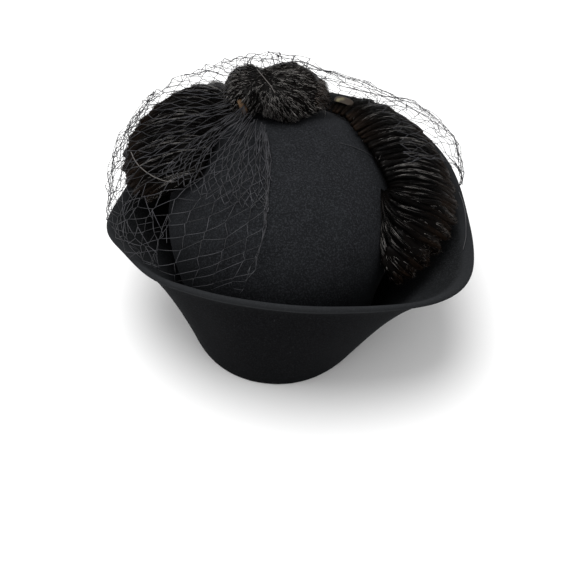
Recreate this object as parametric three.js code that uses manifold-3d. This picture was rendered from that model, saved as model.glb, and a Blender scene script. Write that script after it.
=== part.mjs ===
// Veiled felt hat with three fur pads, as separate solids in one frame.
//
// Millimetres. +Z is up and z = 0 is the folded rim that the hat stands on. -Y is the back of
// the hat, +Y the wearer's front and +X the wearer's right. A bearing is an angle in degrees
// round the hat, from the back toward +X.

import * as THREE from 'three';
import { mergeVertices } from 'three/addons/utils/BufferGeometryUtils.js';
import Module from 'manifold-3d';

const wasm = await Module();
wasm.setup();

// Felt and clearances

const CROWN_WALL = 3;
const BRIM_WALL = 2.8;
const ROLL_RADIUS = 2.3;
const GAP = 0.35;
const BASE_FOLD = 3;
const SECTION_POWER = 2.15;
const COLUMNS = 52;

// Rim: half width and half depth of the middle of the folded felt, where the head goes in

const RIM_HALF_WIDTH = 74;
const RIM_HALF_DEPTH = 103.5;

// Crown: the felt's outer face, section by section from the fold to the top

const CROWN = [
  { height: BASE_FOLD + GAP, halfWidth: 72.1, halfDepth: 101.6, shift: 0 },
  { height: 25, halfWidth: 73.3, halfDepth: 100.2, shift: 0 },
  { height: 50, halfWidth: 79, halfDepth: 99.5, shift: -0.5 },
  { height: 72, halfWidth: 84, halfDepth: 96.5, shift: -1 },
  { height: 90, halfWidth: 83.5, halfDepth: 90.5, shift: -2 },
  { height: 107, halfWidth: 75.5, halfDepth: 79.5, shift: -3 },
  { height: 120.5, halfWidth: 60.5, halfDepth: 63, shift: -4 },
  { height: 129, halfWidth: 40, halfDepth: 42, shift: -5 },
  { height: 132.5, halfWidth: 0.5, halfDepth: 0.5, shift: -5 },
];
const CROWN_OUTER_RINGS = 11;
const CROWN_INNER_RINGS = 7;

// Brim: where its edge stands at each bearing, and how late the wall bells out on the way up

const BRIM = [
  { bearing: 0, edgeRadius: 108, edgeHeight: 100, bell: 0.2 },
  { bearing: 25, edgeRadius: 113, edgeHeight: 98, bell: 0 },
  { bearing: 42, edgeRadius: 124, edgeHeight: 94, bell: -0.1 },
  { bearing: 55, edgeRadius: 136, edgeHeight: 90, bell: 0.3 },
  { bearing: 66, edgeRadius: 141, edgeHeight: 87, bell: 0.75 },
  { bearing: 78, edgeRadius: 134, edgeHeight: 86, bell: 0.8 },
  { bearing: 92, edgeRadius: 125, edgeHeight: 88, bell: 0.7 },
  { bearing: 115, edgeRadius: 121, edgeHeight: 90, bell: 0.5 },
  { bearing: 150, edgeRadius: 118, edgeHeight: 91, bell: 0.2 },
  { bearing: 180, edgeRadius: 116, edgeHeight: 90, bell: 0.2 },
  { bearing: 210, edgeRadius: 116, edgeHeight: 91, bell: 0.2 },
  { bearing: 240, edgeRadius: 115, edgeHeight: 91, bell: 0.4 },
  { bearing: 262, edgeRadius: 112, edgeHeight: 90, bell: 0.6 },
  { bearing: 280, edgeRadius: 116, edgeHeight: 88, bell: 0.8 },
  { bearing: 294, edgeRadius: 127, edgeHeight: 88, bell: 0.9 },
  { bearing: 305, edgeRadius: 122, edgeHeight: 90, bell: 0.7 },
  { bearing: 318, edgeRadius: 118, edgeHeight: 93, bell: 0.4 },
  { bearing: 336, edgeRadius: 111, edgeHeight: 97, bell: 0.2 },
];
const BRIM_STATIONS = 6;
const FOLD_EASE = 0.8;
const ROLL_STEPS = 5;
const ROLL_START = -50;
const ROLL_SWEEP = 230;
const WALL_TOP = 0.95;

// Fur pads: each row is one rib, from its root on the crown to its free tip

const FUR_LEFT = [
  { rootBearing: 222, rootHeight: 119, tipBearing: 216, tipRadius: 109, tipHeight: 111, lift: 4, half: 5 },
  { rootBearing: 233, rootHeight: 123, tipBearing: 230, tipRadius: 116, tipHeight: 111, lift: 5, half: 7 },
  { rootBearing: 246, rootHeight: 126, tipBearing: 245, tipRadius: 119, tipHeight: 108, lift: 5, half: 9 },
  { rootBearing: 260, rootHeight: 127, tipBearing: 260, tipRadius: 118, tipHeight: 105, lift: 5, half: 9 },
  { rootBearing: 274, rootHeight: 127, tipBearing: 274, tipRadius: 113, tipHeight: 104, lift: 5, half: 9 },
  { rootBearing: 287, rootHeight: 126, tipBearing: 286, tipRadius: 105, tipHeight: 104, lift: 4, half: 7 },
  { rootBearing: 299, rootHeight: 123, tipBearing: 297, tipRadius: 90, tipHeight: 107, lift: 2, half: 5 },
];
const FUR_RIGHT = [
  { rootBearing: 160, rootHeight: 119, tipBearing: 159, tipRadius: 92, tipHeight: 110, lift: 1, half: 3 },
  { rootBearing: 146, rootHeight: 121, tipBearing: 148, tipRadius: 107, tipHeight: 101, lift: 3, half: 5 },
  { rootBearing: 128, rootHeight: 124, tipBearing: 136, tipRadius: 112, tipHeight: 98, lift: 4, half: 7 },
  { rootBearing: 112, rootHeight: 124, tipBearing: 122, tipRadius: 113, tipHeight: 97, lift: 5, half: 8 },
  { rootBearing: 98, rootHeight: 121, tipBearing: 108, tipRadius: 114, tipHeight: 96, lift: 6, half: 8 },
  { rootBearing: 87, rootHeight: 116, tipBearing: 95, tipRadius: 116, tipHeight: 95, lift: 6, half: 8 },
  { rootBearing: 78, rootHeight: 110, tipBearing: 83, tipRadius: 117, tipHeight: 93, lift: 5, half: 8 },
  { rootBearing: 69, rootHeight: 104, tipBearing: 72, tipRadius: 114, tipHeight: 88, lift: 4, half: 7 },
  { rootBearing: 60, rootHeight: 97, tipBearing: 61, tipRadius: 109, tipHeight: 82, lift: 2, half: 6 },
  { rootBearing: 53, rootHeight: 89, tipBearing: 53, tipRadius: 103, tipHeight: 76, lift: 0, half: 4 },
];
const LEFT_RIBS = 11;
const RIGHT_RIBS = 16;
const RIB_SIDES = 5;
const RIB_STATIONS = 4;
const RIB_OVERHANG = 1.07;
const RIB_BREADTH = 0.54;
const RIB_DEPTH = 0.62;
const PAD_RINGS = 11;
const PAD_SIDES = 8;
const PAD_DEPTH = 0.75;
const PAD_BLUNTNESS = 0.7;
const ROOT_SETBACK = 0.2;

// Fur knot: two lobes side by side, ribbed along their length

const KNOT_RIB_BREADTH = 0.92;
const KNOT_RIB_DEPTH = 0.24;
const KNOT_LOBES = [
  { x: -36, y: 49, z: 137, heading: 6, pitch: 13, length: 25, width: 15, height: 13, ribs: 5, turn: 0.4 },
  { x: -8, y: 51, z: 138, heading: -38, pitch: 13, length: 28, width: 25, height: 15, ribs: 7, turn: 0.2 },
];

// Hide strips: a tan tab at the knot's lower left and a pale piece on the right fur

const HIDE_TAB = { from: [-38.5, 31, 146], to: [-32.5, 23, 136.5], bow: 2, width: 6, thick: 1.5 };
const HIDE_PATCH = { from: [24, 67, 124], to: [38, 63, 123.6], bow: 1.5, width: 8, thick: 1.5 };

// Veil: each row runs from the gather at the knot out to the hanging edge, as one rounded arch

const VEIL = [
  { inX: -19, inY: 22, inZ: 135.3, outX: -14, outY: -96, outZ: 91.5, fullness: 2.2 },
  { inX: -24, inY: 24, inZ: 138, outX: -58, outY: -91, outZ: 90, fullness: 2.2 },
  { inX: -30, inY: 26, inZ: 142, outX: -98, outY: -73, outZ: 99, fullness: 2.2 },
  { inX: -34, inY: 26, inZ: 145, outX: -117, outY: -38, outZ: 98, fullness: 2.0 },
  { inX: -36, inY: 28, inZ: 147, outX: -125, outY: 4, outZ: 98, fullness: 2.0 },
  { inX: -38, inY: 36, inZ: 150, outX: -122, outY: 47, outZ: 98, fullness: 1.8 },
  { inX: -36, inY: 46, inZ: 152, outX: -98, outY: 84, outZ: 98, fullness: 1.7 },
  { inX: -30, inY: 52, inZ: 155, outX: -62, outY: 104, outZ: 97, fullness: 1.7 },
  { inX: -16, inY: 50, inZ: 158, outX: -20, outY: 114, outZ: 97, fullness: 1.7 },
  { inX: 10, inY: 46, inZ: 154, outX: 28, outY: 106, outZ: 97, fullness: 1.6 },
  { inX: 38, inY: 50, inZ: 136, outX: 66, outY: 101, outZ: 97, fullness: 1.7 },
  { inX: 58, inY: 34, inZ: 138, outX: 98, outY: 80, outZ: 97, fullness: 1.9 },
  { inX: 68, inY: 12, inZ: 137, outX: 117, outY: 52, outZ: 97, fullness: 2.1 },
  { inX: 75, inY: -6, inZ: 133, outX: 121, outY: 22, outZ: 97, fullness: 2.2 },
];
const VEIL_THICKNESS = 1;
const VEIL_COLUMNS = 30;
const VEIL_ROWS = 8;
const VEIL_GATHER = 0.08;
const VEIL_STRAND = 0.12;

// Colours seen in the photo

const FELT_BLACK = 0x232426;
const FELT_BRIM = 0x1b1c1e;
const FUR_BLACK = 0x1d1815;
const NET_BLACK = 0x141414;
const HIDE_TAN = 0x8a6a45;
const HIDE_PALE = 0xaca693;

const UP = new THREE.Vector3(0, 0, 1);

// Position on the hat at a bearing, radius and height
function place(bearing, radius, height) {
  const angle = THREE.MathUtils.degToRad(bearing);
  return new THREE.Vector3(radius * Math.sin(angle), -radius * Math.cos(angle), height);
}

// Smooth curve through one column of a table, against another column or the row number.
// A period closes the curve on itself.
function through(rows, column, key = null, period = 0) {
  const xs = rows.map((row, i) => (key ? row[key] : i));
  const ys = rows.map((row) => row[column]);
  const count = rows.length;
  const x = (i) => (period ? xs[(i + count) % count] + period * Math.floor(i / count) : xs[i]);
  const y = (i) => (period ? ys[(i + count) % count] : ys[i]);
  const slope = (i) => {
    const before = period ? i - 1 : Math.max(i - 1, 0);
    const after = period ? i + 1 : Math.min(i + 1, count - 1);
    return (y(after) - y(before)) / (x(after) - x(before));
  };
  return (value) => {
    let i = 0;
    const last = period ? count - 1 : count - 2;
    while (i < last && value >= x(i + 1)) i++;
    const span = x(i + 1) - x(i);
    const t = THREE.MathUtils.clamp((value - x(i)) / span, 0, 1);
    const t2 = t * t;
    const t3 = t2 * t;
    return (
      y(i) * (2 * t3 - 3 * t2 + 1) +
      slope(i) * span * (t3 - 2 * t2 + t) +
      y(i + 1) * (3 * t2 - 2 * t3) +
      slope(i + 1) * span * (t3 - t2)
    );
  };
}

// Radius of a rounded oval at a bearing
function ovalRadius(halfWidth, halfDepth, bearing) {
  const angle = THREE.MathUtils.degToRad(bearing);
  const across = Math.abs(Math.sin(angle) / halfWidth) ** SECTION_POWER;
  const along = Math.abs(Math.cos(angle) / halfDepth) ** SECTION_POWER;
  return (across + along) ** (-1 / SECTION_POWER);
}

// Closed surface over a list of rings; a lone point closes an end, and closed joins last to first
function skin(rings, closed = false) {
  const positions = [];
  const starts = rings.map((ring) => {
    const start = positions.length / 3;
    for (const point of ring) positions.push(point.x, point.y, point.z);
    return start;
  });
  const triangles = [];
  const stitch = (i, j) => {
    const sides = Math.max(rings[i].length, rings[j].length);
    const first = (k) => starts[i] + (rings[i].length === 1 ? 0 : k % sides);
    const second = (k) => starts[j] + (rings[j].length === 1 ? 0 : k % sides);
    if (sides === 1) return;
    for (let k = 0; k < sides; k++) {
      if (rings[i].length > 1) triangles.push(first(k), first(k + 1), second(k));
      if (rings[j].length > 1) triangles.push(first(k + 1), second(k + 1), second(k));
    }
  };
  for (let i = 0; i + 1 < rings.length; i++) stitch(i, i + 1);
  if (closed) stitch(rings.length - 1, 0);
  const geometry = new THREE.BufferGeometry();
  geometry.setAttribute('position', new THREE.Float32BufferAttribute(positions, 3));
  geometry.setIndex(triangles);
  return facedOut(geometry);
}

// The same closed surface with every face turned outward
function facedOut(geometry) {
  const position = geometry.getAttribute('position');
  const index = geometry.getIndex().array;
  const [a, b, c] = [new THREE.Vector3(), new THREE.Vector3(), new THREE.Vector3()];
  let volume = 0;
  for (let i = 0; i < index.length; i += 3) {
    a.fromBufferAttribute(position, index[i]);
    b.fromBufferAttribute(position, index[i + 1]);
    c.fromBufferAttribute(position, index[i + 2]);
    volume += a.dot(b.cross(c));
  }
  if (volume < 0) {
    for (let i = 0; i < index.length; i += 3) {
      [index[i + 1], index[i + 2]] = [index[i + 2], index[i + 1]];
    }
  }
  return geometry;
}

function toSolid(geometry) {
  const plain = mergeVertices(geometry);
  return new wasm.Manifold(
    new wasm.Mesh({
      numProp: 3,
      vertProperties: new Float32Array(plain.getAttribute('position').array),
      triVerts: new Uint32Array(plain.getIndex().array),
    })
  );
}

function fromSolid(solid) {
  const mesh = solid.getMesh();
  const geometry = new THREE.BufferGeometry();
  geometry.setAttribute('position', new THREE.Float32BufferAttribute(mesh.vertProperties, 3));
  geometry.setIndex(Array.from(mesh.triVerts));
  return geometry;
}

// The largest piece of a solid, without the sealed hollows that ribs can bridge
function mainPiece(solid) {
  const pieces = solid.decompose();
  return pieces.reduce((best, piece) => (piece.volume() > best.volume() ? piece : best));
}

// Crown

// Outer face by the length run along its side profile, so that the flat top is followed as well
let crownLength = 0;
const crownRows = CROWN.map((row, i) => {
  const before = CROWN[Math.max(i - 1, 0)];
  crownLength += Math.hypot(row.height - before.height, row.halfWidth - before.halfWidth);
  return { ...row, run: crownLength };
});
const crownProfile = {
  height: through(crownRows, 'height', 'run'),
  halfWidth: through(crownRows, 'halfWidth', 'run'),
  halfDepth: through(crownRows, 'halfDepth', 'run'),
  shift: through(crownRows, 'shift', 'run'),
};

// Point of the crown's face at a run and bearing, moved out by a distance, or in if negative
function crownPoint(run, bearing, out) {
  const step = 0.5;
  const [low, high] = [Math.max(run - step, 0), Math.min(run + step, crownLength)];
  const rise = crownProfile.height(high) - crownProfile.height(low);
  const widen = crownProfile.halfWidth(high) - crownProfile.halfWidth(low);
  const norm = Math.hypot(rise, widen);
  const sideways = (rise / norm) * out;
  const upward = (-widen / norm) * out;
  const halfWidth = Math.max(crownProfile.halfWidth(run) + sideways, 0.3);
  const halfDepth = Math.max(crownProfile.halfDepth(run) + sideways, 0.3);
  const point = place(bearing, ovalRadius(halfWidth, halfDepth, bearing), 0);
  point.y += crownProfile.shift(run);
  point.z = crownProfile.height(run) + upward;
  return point;
}

// Point at a height on the crown's face, moved out by a distance
function onCrown(bearing, height, out) {
  let [low, high] = [0, crownLength];
  for (let i = 0; i < 24; i++) {
    const middle = (low + high) / 2;
    if (crownProfile.height(middle) < height) low = middle;
    else high = middle;
  }
  return crownPoint((low + high) / 2, bearing, out);
}

function crownRings(count, out, foot = null) {
  const rings = [];
  for (let i = 0; i < count; i++) {
    const run = crownLength * Math.sin(((i / count) * Math.PI) / 2) ** 0.9;
    const ring = [];
    for (let k = 0; k < COLUMNS; k++) {
      const point = crownPoint(run, (360 * k) / COLUMNS, out);
      if (i === 0) point.z = foot ?? CROWN[0].height;
      ring.push(point);
    }
    rings.push(ring);
  }
  const top = CROWN[CROWN.length - 1];
  rings.push([new THREE.Vector3(0, top.shift, top.height + out)]);
  return rings;
}

function crownGeometry() {
  const outer = crownRings(CROWN_OUTER_RINGS, 0);
  const inner = crownRings(CROWN_INNER_RINGS, -CROWN_WALL);
  return skin([...outer, ...inner.reverse()], true);
}

// Everything inside the crown's outer face, grown by the clearance, for seating the furs on it
function crownKeepOut() {
  const rings = crownRings(CROWN_OUTER_RINGS, GAP);
  const foot = new THREE.Vector3(0, 0, CROWN[0].height);
  return toSolid(skin([[foot], ...rings]));
}

// Brim

const brimEdge = {
  radius: through(BRIM, 'edgeRadius', 'bearing', 360),
  height: through(BRIM, 'edgeHeight', 'bearing', 360),
  bell: through(BRIM, 'bell', 'bearing', 360),
};

// Middle of the brim's felt in the upright plane at a bearing, from the fold (0) to the edge (1)
function brimMiddle(bearing, s) {
  const rim = ovalRadius(RIM_HALF_WIDTH, RIM_HALF_DEPTH, bearing);
  const bell = brimEdge.bell(bearing);
  const spread = s * (1 - bell) + bell * s ** 3;
  return new THREE.Vector2(rim + (brimEdge.radius(bearing) - rim) * spread, brimEdge.height(bearing) * s);
}

// Closed loop round the brim's felt at a bearing: fold, outer face, rolled edge, inner face
function brimLoop(bearing) {
  const half = BRIM_WALL / 2;
  const frame = (s) => {
    const along = brimMiddle(bearing, s + 0.01).sub(brimMiddle(bearing, s - 0.01)).normalize();
    return { at: brimMiddle(bearing, s), along, out: new THREE.Vector2(along.y, -along.x) };
  };
  const beside = (s, distance) => {
    const { at, out } = frame(s);
    return at.clone().addScaledVector(out, distance);
  };
  const rim = brimMiddle(bearing, 0).x;
  const foldIn = rim - half - GAP - CROWN_WALL;
  const loop = [
    new THREE.Vector2(foldIn, BASE_FOLD),
    new THREE.Vector2(foldIn, FOLD_EASE),
    new THREE.Vector2(foldIn + FOLD_EASE, 0),
    new THREE.Vector2(rim + half - FOLD_EASE, 0),
    new THREE.Vector2(rim + half, FOLD_EASE),
  ];
  for (let i = 1; i <= BRIM_STATIONS; i++) loop.push(beside((WALL_TOP * i) / BRIM_STATIONS, half));
  const edge = frame(1);
  const centre = edge.at.clone().addScaledVector(edge.out, ROLL_RADIUS - half);
  for (let i = 0; i <= ROLL_STEPS; i++) {
    const turn = THREE.MathUtils.degToRad(ROLL_START + (ROLL_SWEEP * i) / ROLL_STEPS);
    loop.push(
      centre
        .clone()
        .addScaledVector(edge.out, ROLL_RADIUS * Math.cos(turn))
        .addScaledVector(edge.along, ROLL_RADIUS * Math.sin(turn))
    );
  }
  for (let i = BRIM_STATIONS - 1; i >= 1; i--) loop.push(beside(i / BRIM_STATIONS, -half));
  loop.push(new THREE.Vector2(rim - half, BASE_FOLD));
  return loop.map((point) => place(bearing, point.x, point.y));
}

function brimGeometry() {
  const loops = [];
  for (let k = 0; k < COLUMNS; k++) loops.push(brimLoop((360 * k) / COLUMNS));
  return skin(loops, true);
}

// Fur

// One rib: a tapered strip along a path, half sunk in its backing
function rib(path, side, width, thickness) {
  const rings = [[path(0)]];
  for (let i = 0; i < RIB_STATIONS; i++) {
    const s = 0.5 - 0.5 * Math.cos((Math.PI * (i + 0.5)) / RIB_STATIONS);
    const taper = Math.sin(Math.PI * (0.08 + 0.84 * s)) ** 0.5;
    const along = path(s + 0.02).sub(path(s - 0.02)).normalize();
    const across = side(s).addScaledVector(along, -side(s).dot(along)).normalize();
    const lift = new THREE.Vector3().crossVectors(across, along).normalize();
    const ring = [];
    for (let k = 0; k < RIB_SIDES; k++) {
      const turn = (2 * Math.PI * k) / RIB_SIDES;
      ring.push(
        path(s)
          .addScaledVector(across, width * taper * Math.cos(turn))
          .addScaledVector(lift, thickness * taper * Math.sin(turn))
      );
    }
    rings.push(ring);
  }
  rings.push([path(1)]);
  return toSolid(skin(rings));
}

// Fan of ribs fused to a backing pad, laid out by a table of roots and tips
function fan(rows, ribs) {
  const column = (name) => through(rows, name);
  const at = Object.fromEntries(Object.keys(rows[0]).map((name) => [name, column(name)]));
  const last = rows.length - 1;
  const path = (k, s) => {
    const root = onCrown(at.rootBearing(k), at.rootHeight(k), at.half(k) * ROOT_SETBACK);
    const tip = place(at.tipBearing(k), at.tipRadius(k), at.tipHeight(k));
    return root.lerp(tip, s).addScaledVector(UP, at.lift(k) * 4 * s * (1 - s));
  };
  const rings = [[path(0, 0.5)]];
  for (let i = 0; i < PAD_RINGS; i++) {
    const k = (last * (i + 0.5)) / PAD_RINGS;
    const ring = [];
    for (let j = 0; j < PAD_SIDES; j++) {
      const turn = (2 * Math.PI * j) / PAD_SIDES;
      const s = 0.5 - 0.5 * Math.cos(turn);
      const fill = Math.sign(Math.sin(turn)) * Math.abs(Math.sin(turn)) ** PAD_BLUNTNESS;
      ring.push(path(k, s).addScaledVector(UP, at.half(k) * PAD_DEPTH * fill));
    }
    rings.push(ring);
  }
  rings.push([path(last, 0.5)]);
  const parts = [toSolid(skin(rings))];
  for (let i = 0; i < ribs; i++) {
    const k = (last * (i + 0.5)) / ribs;
    const spacing = path(k + last / ribs / 2, 0.6).distanceTo(path(k - last / ribs / 2, 0.6));
    const line = (s) => {
      const point = path(k, s * RIB_OVERHANG);
      return point.addScaledVector(UP, at.half(k) * 0.6 * Math.sin(Math.PI * (0.15 + 0.8 * s)));
    };
    const side = (s) => path(Math.min(k + 0.1, last), s).sub(path(Math.max(k - 0.1, 0), s));
    parts.push(rib(line, side, spacing * RIB_BREADTH, at.half(k) * RIB_DEPTH));
  }
  return wasm.Manifold.union(parts);
}

// One lobe of the knot: an oval body with ribs running over it from end to end, grown on every
// side by a clearance when it cuts a seat in its neighbour
function lobe({ x, y, z, heading, pitch, length, width, height, ribs, turn }, grow = 0) {
  const body = new THREE.SphereGeometry(1, 12, 6);
  body.deleteAttribute('normal');
  body.deleteAttribute('uv');
  const placing = new THREE.Matrix4().compose(
    new THREE.Vector3(x, y, z),
    new THREE.Quaternion().setFromEuler(
      new THREE.Euler(THREE.MathUtils.degToRad(-pitch), 0, THREE.MathUtils.degToRad(heading), 'ZYX')
    ),
    new THREE.Vector3(width + grow, length + grow, height + grow)
  );
  body.applyMatrix4(placing);
  const parts = [toSolid(facedOut(mergeVertices(body)))];
  for (let i = 0; i < ribs; i++) {
    const roll = turn + (2 * Math.PI * i) / ribs;
    const unit = (s, about) => {
      const swing = Math.PI * (0.1 + 0.8 * s);
      const around = Math.sin(swing) * 0.97;
      return new THREE.Vector3(around * Math.sin(about), -Math.cos(swing), around * Math.cos(about));
    };
    const line = (s) => unit(s, roll).applyMatrix4(placing);
    const turned = (s, by) => unit(s, roll + by).applyMatrix4(placing);
    const side = (s) => turned(s, 0.1).sub(turned(s, -0.1));
    parts.push(rib(line, side, (KNOT_RIB_BREADTH * Math.PI * width) / ribs, height * KNOT_RIB_DEPTH));
  }
  return wasm.Manifold.union(parts);
}

// Hide

// Bowed strip between two places, grown on every side by a clearance when it cuts its own seat
function strip({ from, to, bow, width, thick }, grow = 0) {
  const start = new THREE.Vector3(...from);
  const end = new THREE.Vector3(...to);
  const along = end.clone().sub(start).normalize();
  const across = new THREE.Vector3().crossVectors(along, UP).normalize();
  const lift = new THREE.Vector3().crossVectors(across, along).normalize();
  const rings = [];
  const steps = 5;
  for (let i = 0; i <= steps; i++) {
    const s = i / steps;
    const reach = THREE.MathUtils.lerp(-grow, grow, s);
    const middle = start.clone().lerp(end, s);
    middle.addScaledVector(along, reach).addScaledVector(lift, bow * 4 * s * (1 - s));
    const half = (width / 2) * (0.75 + 0.25 * Math.sin(Math.PI * s)) + grow;
    const corners = [[-1, -1], [1, -1], [1, 1], [-1, 1]];
    rings.push(
      corners.map(([u, v]) =>
        middle
          .clone()
          .addScaledVector(across, u * half)
          .addScaledVector(lift, v * (thick / 2 + grow))
      )
    );
  }
  const centre = (ring) => [ring.reduce((sum, p) => sum.add(p), new THREE.Vector3()).divideScalar(4)];
  return toSolid(skin([centre(rings[0]), ...rings, centre(rings[steps])]));
}

// Veil

// Point of the veil: u along its rows of the table (0 to 1), v from the gather to the free edge
function veilPoint(u, v) {
  const k = u * (VEIL.length - 1);
  const value = (name) => veilColumns[name](k);
  const swing = (v * Math.PI) / 2;
  const spread = Math.sin(swing);
  const height = (1 - spread ** value('fullness')) ** (1 / value('fullness'));
  return new THREE.Vector3(
    THREE.MathUtils.lerp(value('inX'), value('outX'), spread),
    THREE.MathUtils.lerp(value('inY'), value('outY'), spread),
    THREE.MathUtils.lerp(value('outZ'), value('inZ'), height)
  );
}
const veilColumns = Object.fromEntries(Object.keys(VEIL[0]).map((name) => [name, through(VEIL, name)]));

// Diamond net cut through a thin shell: every diamond keeps a frame of strands round its gap
function veilGeometry() {
  const positions = [];
  const triangles = [];
  const known = new Map();
  const node = (i, j) => veilPoint(i / VEIL_COLUMNS, VEIL_GATHER + ((1 - VEIL_GATHER) * j) / VEIL_ROWS);
  const normal = (i, j) => {
    const along = node(Math.min(i + 0.5, VEIL_COLUMNS), j).sub(node(Math.max(i - 0.5, 0), j));
    const down = node(i, Math.min(j + 0.5, VEIL_ROWS)).sub(node(i, Math.max(j - 0.5, 0)));
    return along.cross(down).normalize();
  };
  const vertex = (key, point, out) => {
    if (!known.has(key)) {
      known.set(key, positions.length / 3);
      const moved = point.clone().addScaledVector(out, VEIL_THICKNESS / 2);
      positions.push(moved.x, moved.y, moved.z);
    }
    return known.get(key);
  };
  const edges = new Map();
  for (let i = 1; i < VEIL_COLUMNS; i++) {
    for (let j = 1; j < VEIL_ROWS; j++) {
      if ((i + j) % 2 === 0) continue;
      const middle = node(i, j);
      const around = [[i, j - 1], [i + 1, j], [i, j + 1], [i - 1, j]];
      const rim = [1, -1].map((face) =>
        around.map(([a, b]) => {
          const out = normal(a, b).multiplyScalar(face);
          const point = node(a, b);
          const hole = point.clone().lerp(middle, VEIL_STRAND * 1.6);
          return {
            outer: vertex(`${a},${b},${face}`, point, out),
            inner: vertex(`${a},${b},${face},${i},${j}`, hole, out),
          };
        })
      );
      for (let k = 0; k < 4; k++) {
        const next = (k + 1) % 4;
        const [top, bottom] = rim;
        triangles.push(top[k].outer, top[next].outer, top[next].inner);
        triangles.push(top[k].outer, top[next].inner, top[k].inner);
        triangles.push(bottom[k].outer, bottom[next].inner, bottom[next].outer);
        triangles.push(bottom[k].outer, bottom[k].inner, bottom[next].inner);
        triangles.push(top[k].inner, top[next].inner, bottom[next].inner);
        triangles.push(top[k].inner, bottom[next].inner, bottom[k].inner);
        const forward = `${around[k]}>${around[next]}`;
        const backward = `${around[next]}>${around[k]}`;
        if (edges.has(backward)) edges.delete(backward);
        else edges.set(forward, [top[k].outer, top[next].outer, bottom[next].outer, bottom[k].outer]);
      }
    }
  }
  for (const [topA, topB, bottomB, bottomA] of edges.values()) {
    triangles.push(topA, bottomB, topB);
    triangles.push(topA, bottomA, bottomB);
  }
  const geometry = new THREE.BufferGeometry();
  geometry.setAttribute('position', new THREE.Float32BufferAttribute(positions, 3));
  geometry.setIndex(triangles);
  return facedOut(geometry);
}

// Assembly

const SLIVER = 0.1;
const keepOut = crownKeepOut();
const knotBody = wasm.Manifold.union(KNOT_LOBES.map((row) => lobe(row)));
const knotSeat = wasm.Manifold.union(KNOT_LOBES.map((row) => lobe(row, 2 * GAP)));
const tabSeat = strip(HIDE_TAB, 1.5 * GAP);
const patchSeat = strip(HIDE_PATCH, 1.5 * GAP);
const seated = (solid, ...seats) => {
  const cut = [keepOut, ...seats].reduce((rest, seat) => rest.subtract(seat), mainPiece(solid));
  return fromSolid(mainPiece(cut.simplify(SLIVER)));
};

const hat = new THREE.Group();
hat.name = 'veiled_hat';

function add(name, geometry, color, roughness) {
  const material = new THREE.MeshStandardMaterial({ color, roughness, metalness: 0 });
  material.name = name;
  const mesh = new THREE.Mesh(geometry, material);
  mesh.name = name;
  hat.add(mesh);
}

add('crown', crownGeometry(), FELT_BLACK, 0.95);
add('brim', brimGeometry(), FELT_BRIM, 0.95);
add('fur_left', seated(fan(FUR_LEFT, LEFT_RIBS), knotSeat), FUR_BLACK, 0.6);
add('fur_knot', seated(knotBody, tabSeat), FUR_BLACK, 0.6);
add('fur_right', seated(fan(FUR_RIGHT, RIGHT_RIBS), knotSeat, patchSeat), FUR_BLACK, 0.55);
add('veil', veilGeometry(), NET_BLACK, 0.8);
add('hide_tab', fromSolid(strip(HIDE_TAB)), HIDE_TAN, 0.7);
add('hide_patch', fromSolid(strip(HIDE_PATCH)), HIDE_PALE, 0.75);

// The frame's origin is the centre of the hat's footprint box, on the ground
const extent = new THREE.Box3().setFromObject(hat);
const middle = extent.getCenter(new THREE.Vector3());
hat.position.set(-middle.x, -middle.y, -extent.min.z);
hat.updateMatrixWorld(true);

export default hat;
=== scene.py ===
"""Veiled felt hat: felt, fur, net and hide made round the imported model.

Laid out as a Blender add-on and run as a script. Tables are in millimetres on the hat's own axis,
with bearings in degrees from the back toward +X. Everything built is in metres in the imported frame.
"""

import math

import bmesh
import bpy
import numpy as np
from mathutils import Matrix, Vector, noise
from mathutils.bvhtree import BVHTree
from mathutils.kdtree import KDTree


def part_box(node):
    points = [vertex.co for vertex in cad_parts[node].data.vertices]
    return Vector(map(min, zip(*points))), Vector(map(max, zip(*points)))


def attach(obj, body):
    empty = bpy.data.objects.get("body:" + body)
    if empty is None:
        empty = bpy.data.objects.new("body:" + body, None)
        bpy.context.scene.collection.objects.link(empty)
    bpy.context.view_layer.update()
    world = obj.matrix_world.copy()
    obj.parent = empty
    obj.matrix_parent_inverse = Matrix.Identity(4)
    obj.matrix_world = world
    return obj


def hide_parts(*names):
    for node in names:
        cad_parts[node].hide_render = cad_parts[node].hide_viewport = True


bl_info = {
    "name": "Veiled Felt Hat",
    "version": (1, 0, 0),
    "blender": (4, 5, 0),
    "location": "View3D > Sidebar > Hat",
    "description": "Makes the felt, fur, net and hide of a veiled hat round its packed model",
    "category": "Object",
}

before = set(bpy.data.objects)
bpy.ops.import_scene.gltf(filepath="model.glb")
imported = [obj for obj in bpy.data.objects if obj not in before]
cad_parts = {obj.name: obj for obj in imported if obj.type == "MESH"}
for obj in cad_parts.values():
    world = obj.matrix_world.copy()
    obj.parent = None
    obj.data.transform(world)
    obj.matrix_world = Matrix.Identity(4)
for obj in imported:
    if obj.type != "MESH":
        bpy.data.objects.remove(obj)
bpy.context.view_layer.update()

MM = 0.001
UP = np.array([0.0, 0.0, 1.0])
CROWN_LOW, CROWN_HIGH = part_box("crown")
AXIS = np.array([(CROWN_LOW.x + CROWN_HIGH.x) / 2, (CROWN_LOW.y + CROWN_HIGH.y) / 2, 0.0])


def srgb(red, green, blue):
    """Linear colour from the 0 to 255 values of a screen colour."""
    def channel(value):
        part = value / 255
        return part / 12.92 if part <= 0.04045 else ((part + 0.055) / 1.055) ** 2.4
    return tuple(channel(value) for value in (red, green, blue))


# Tables

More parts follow.
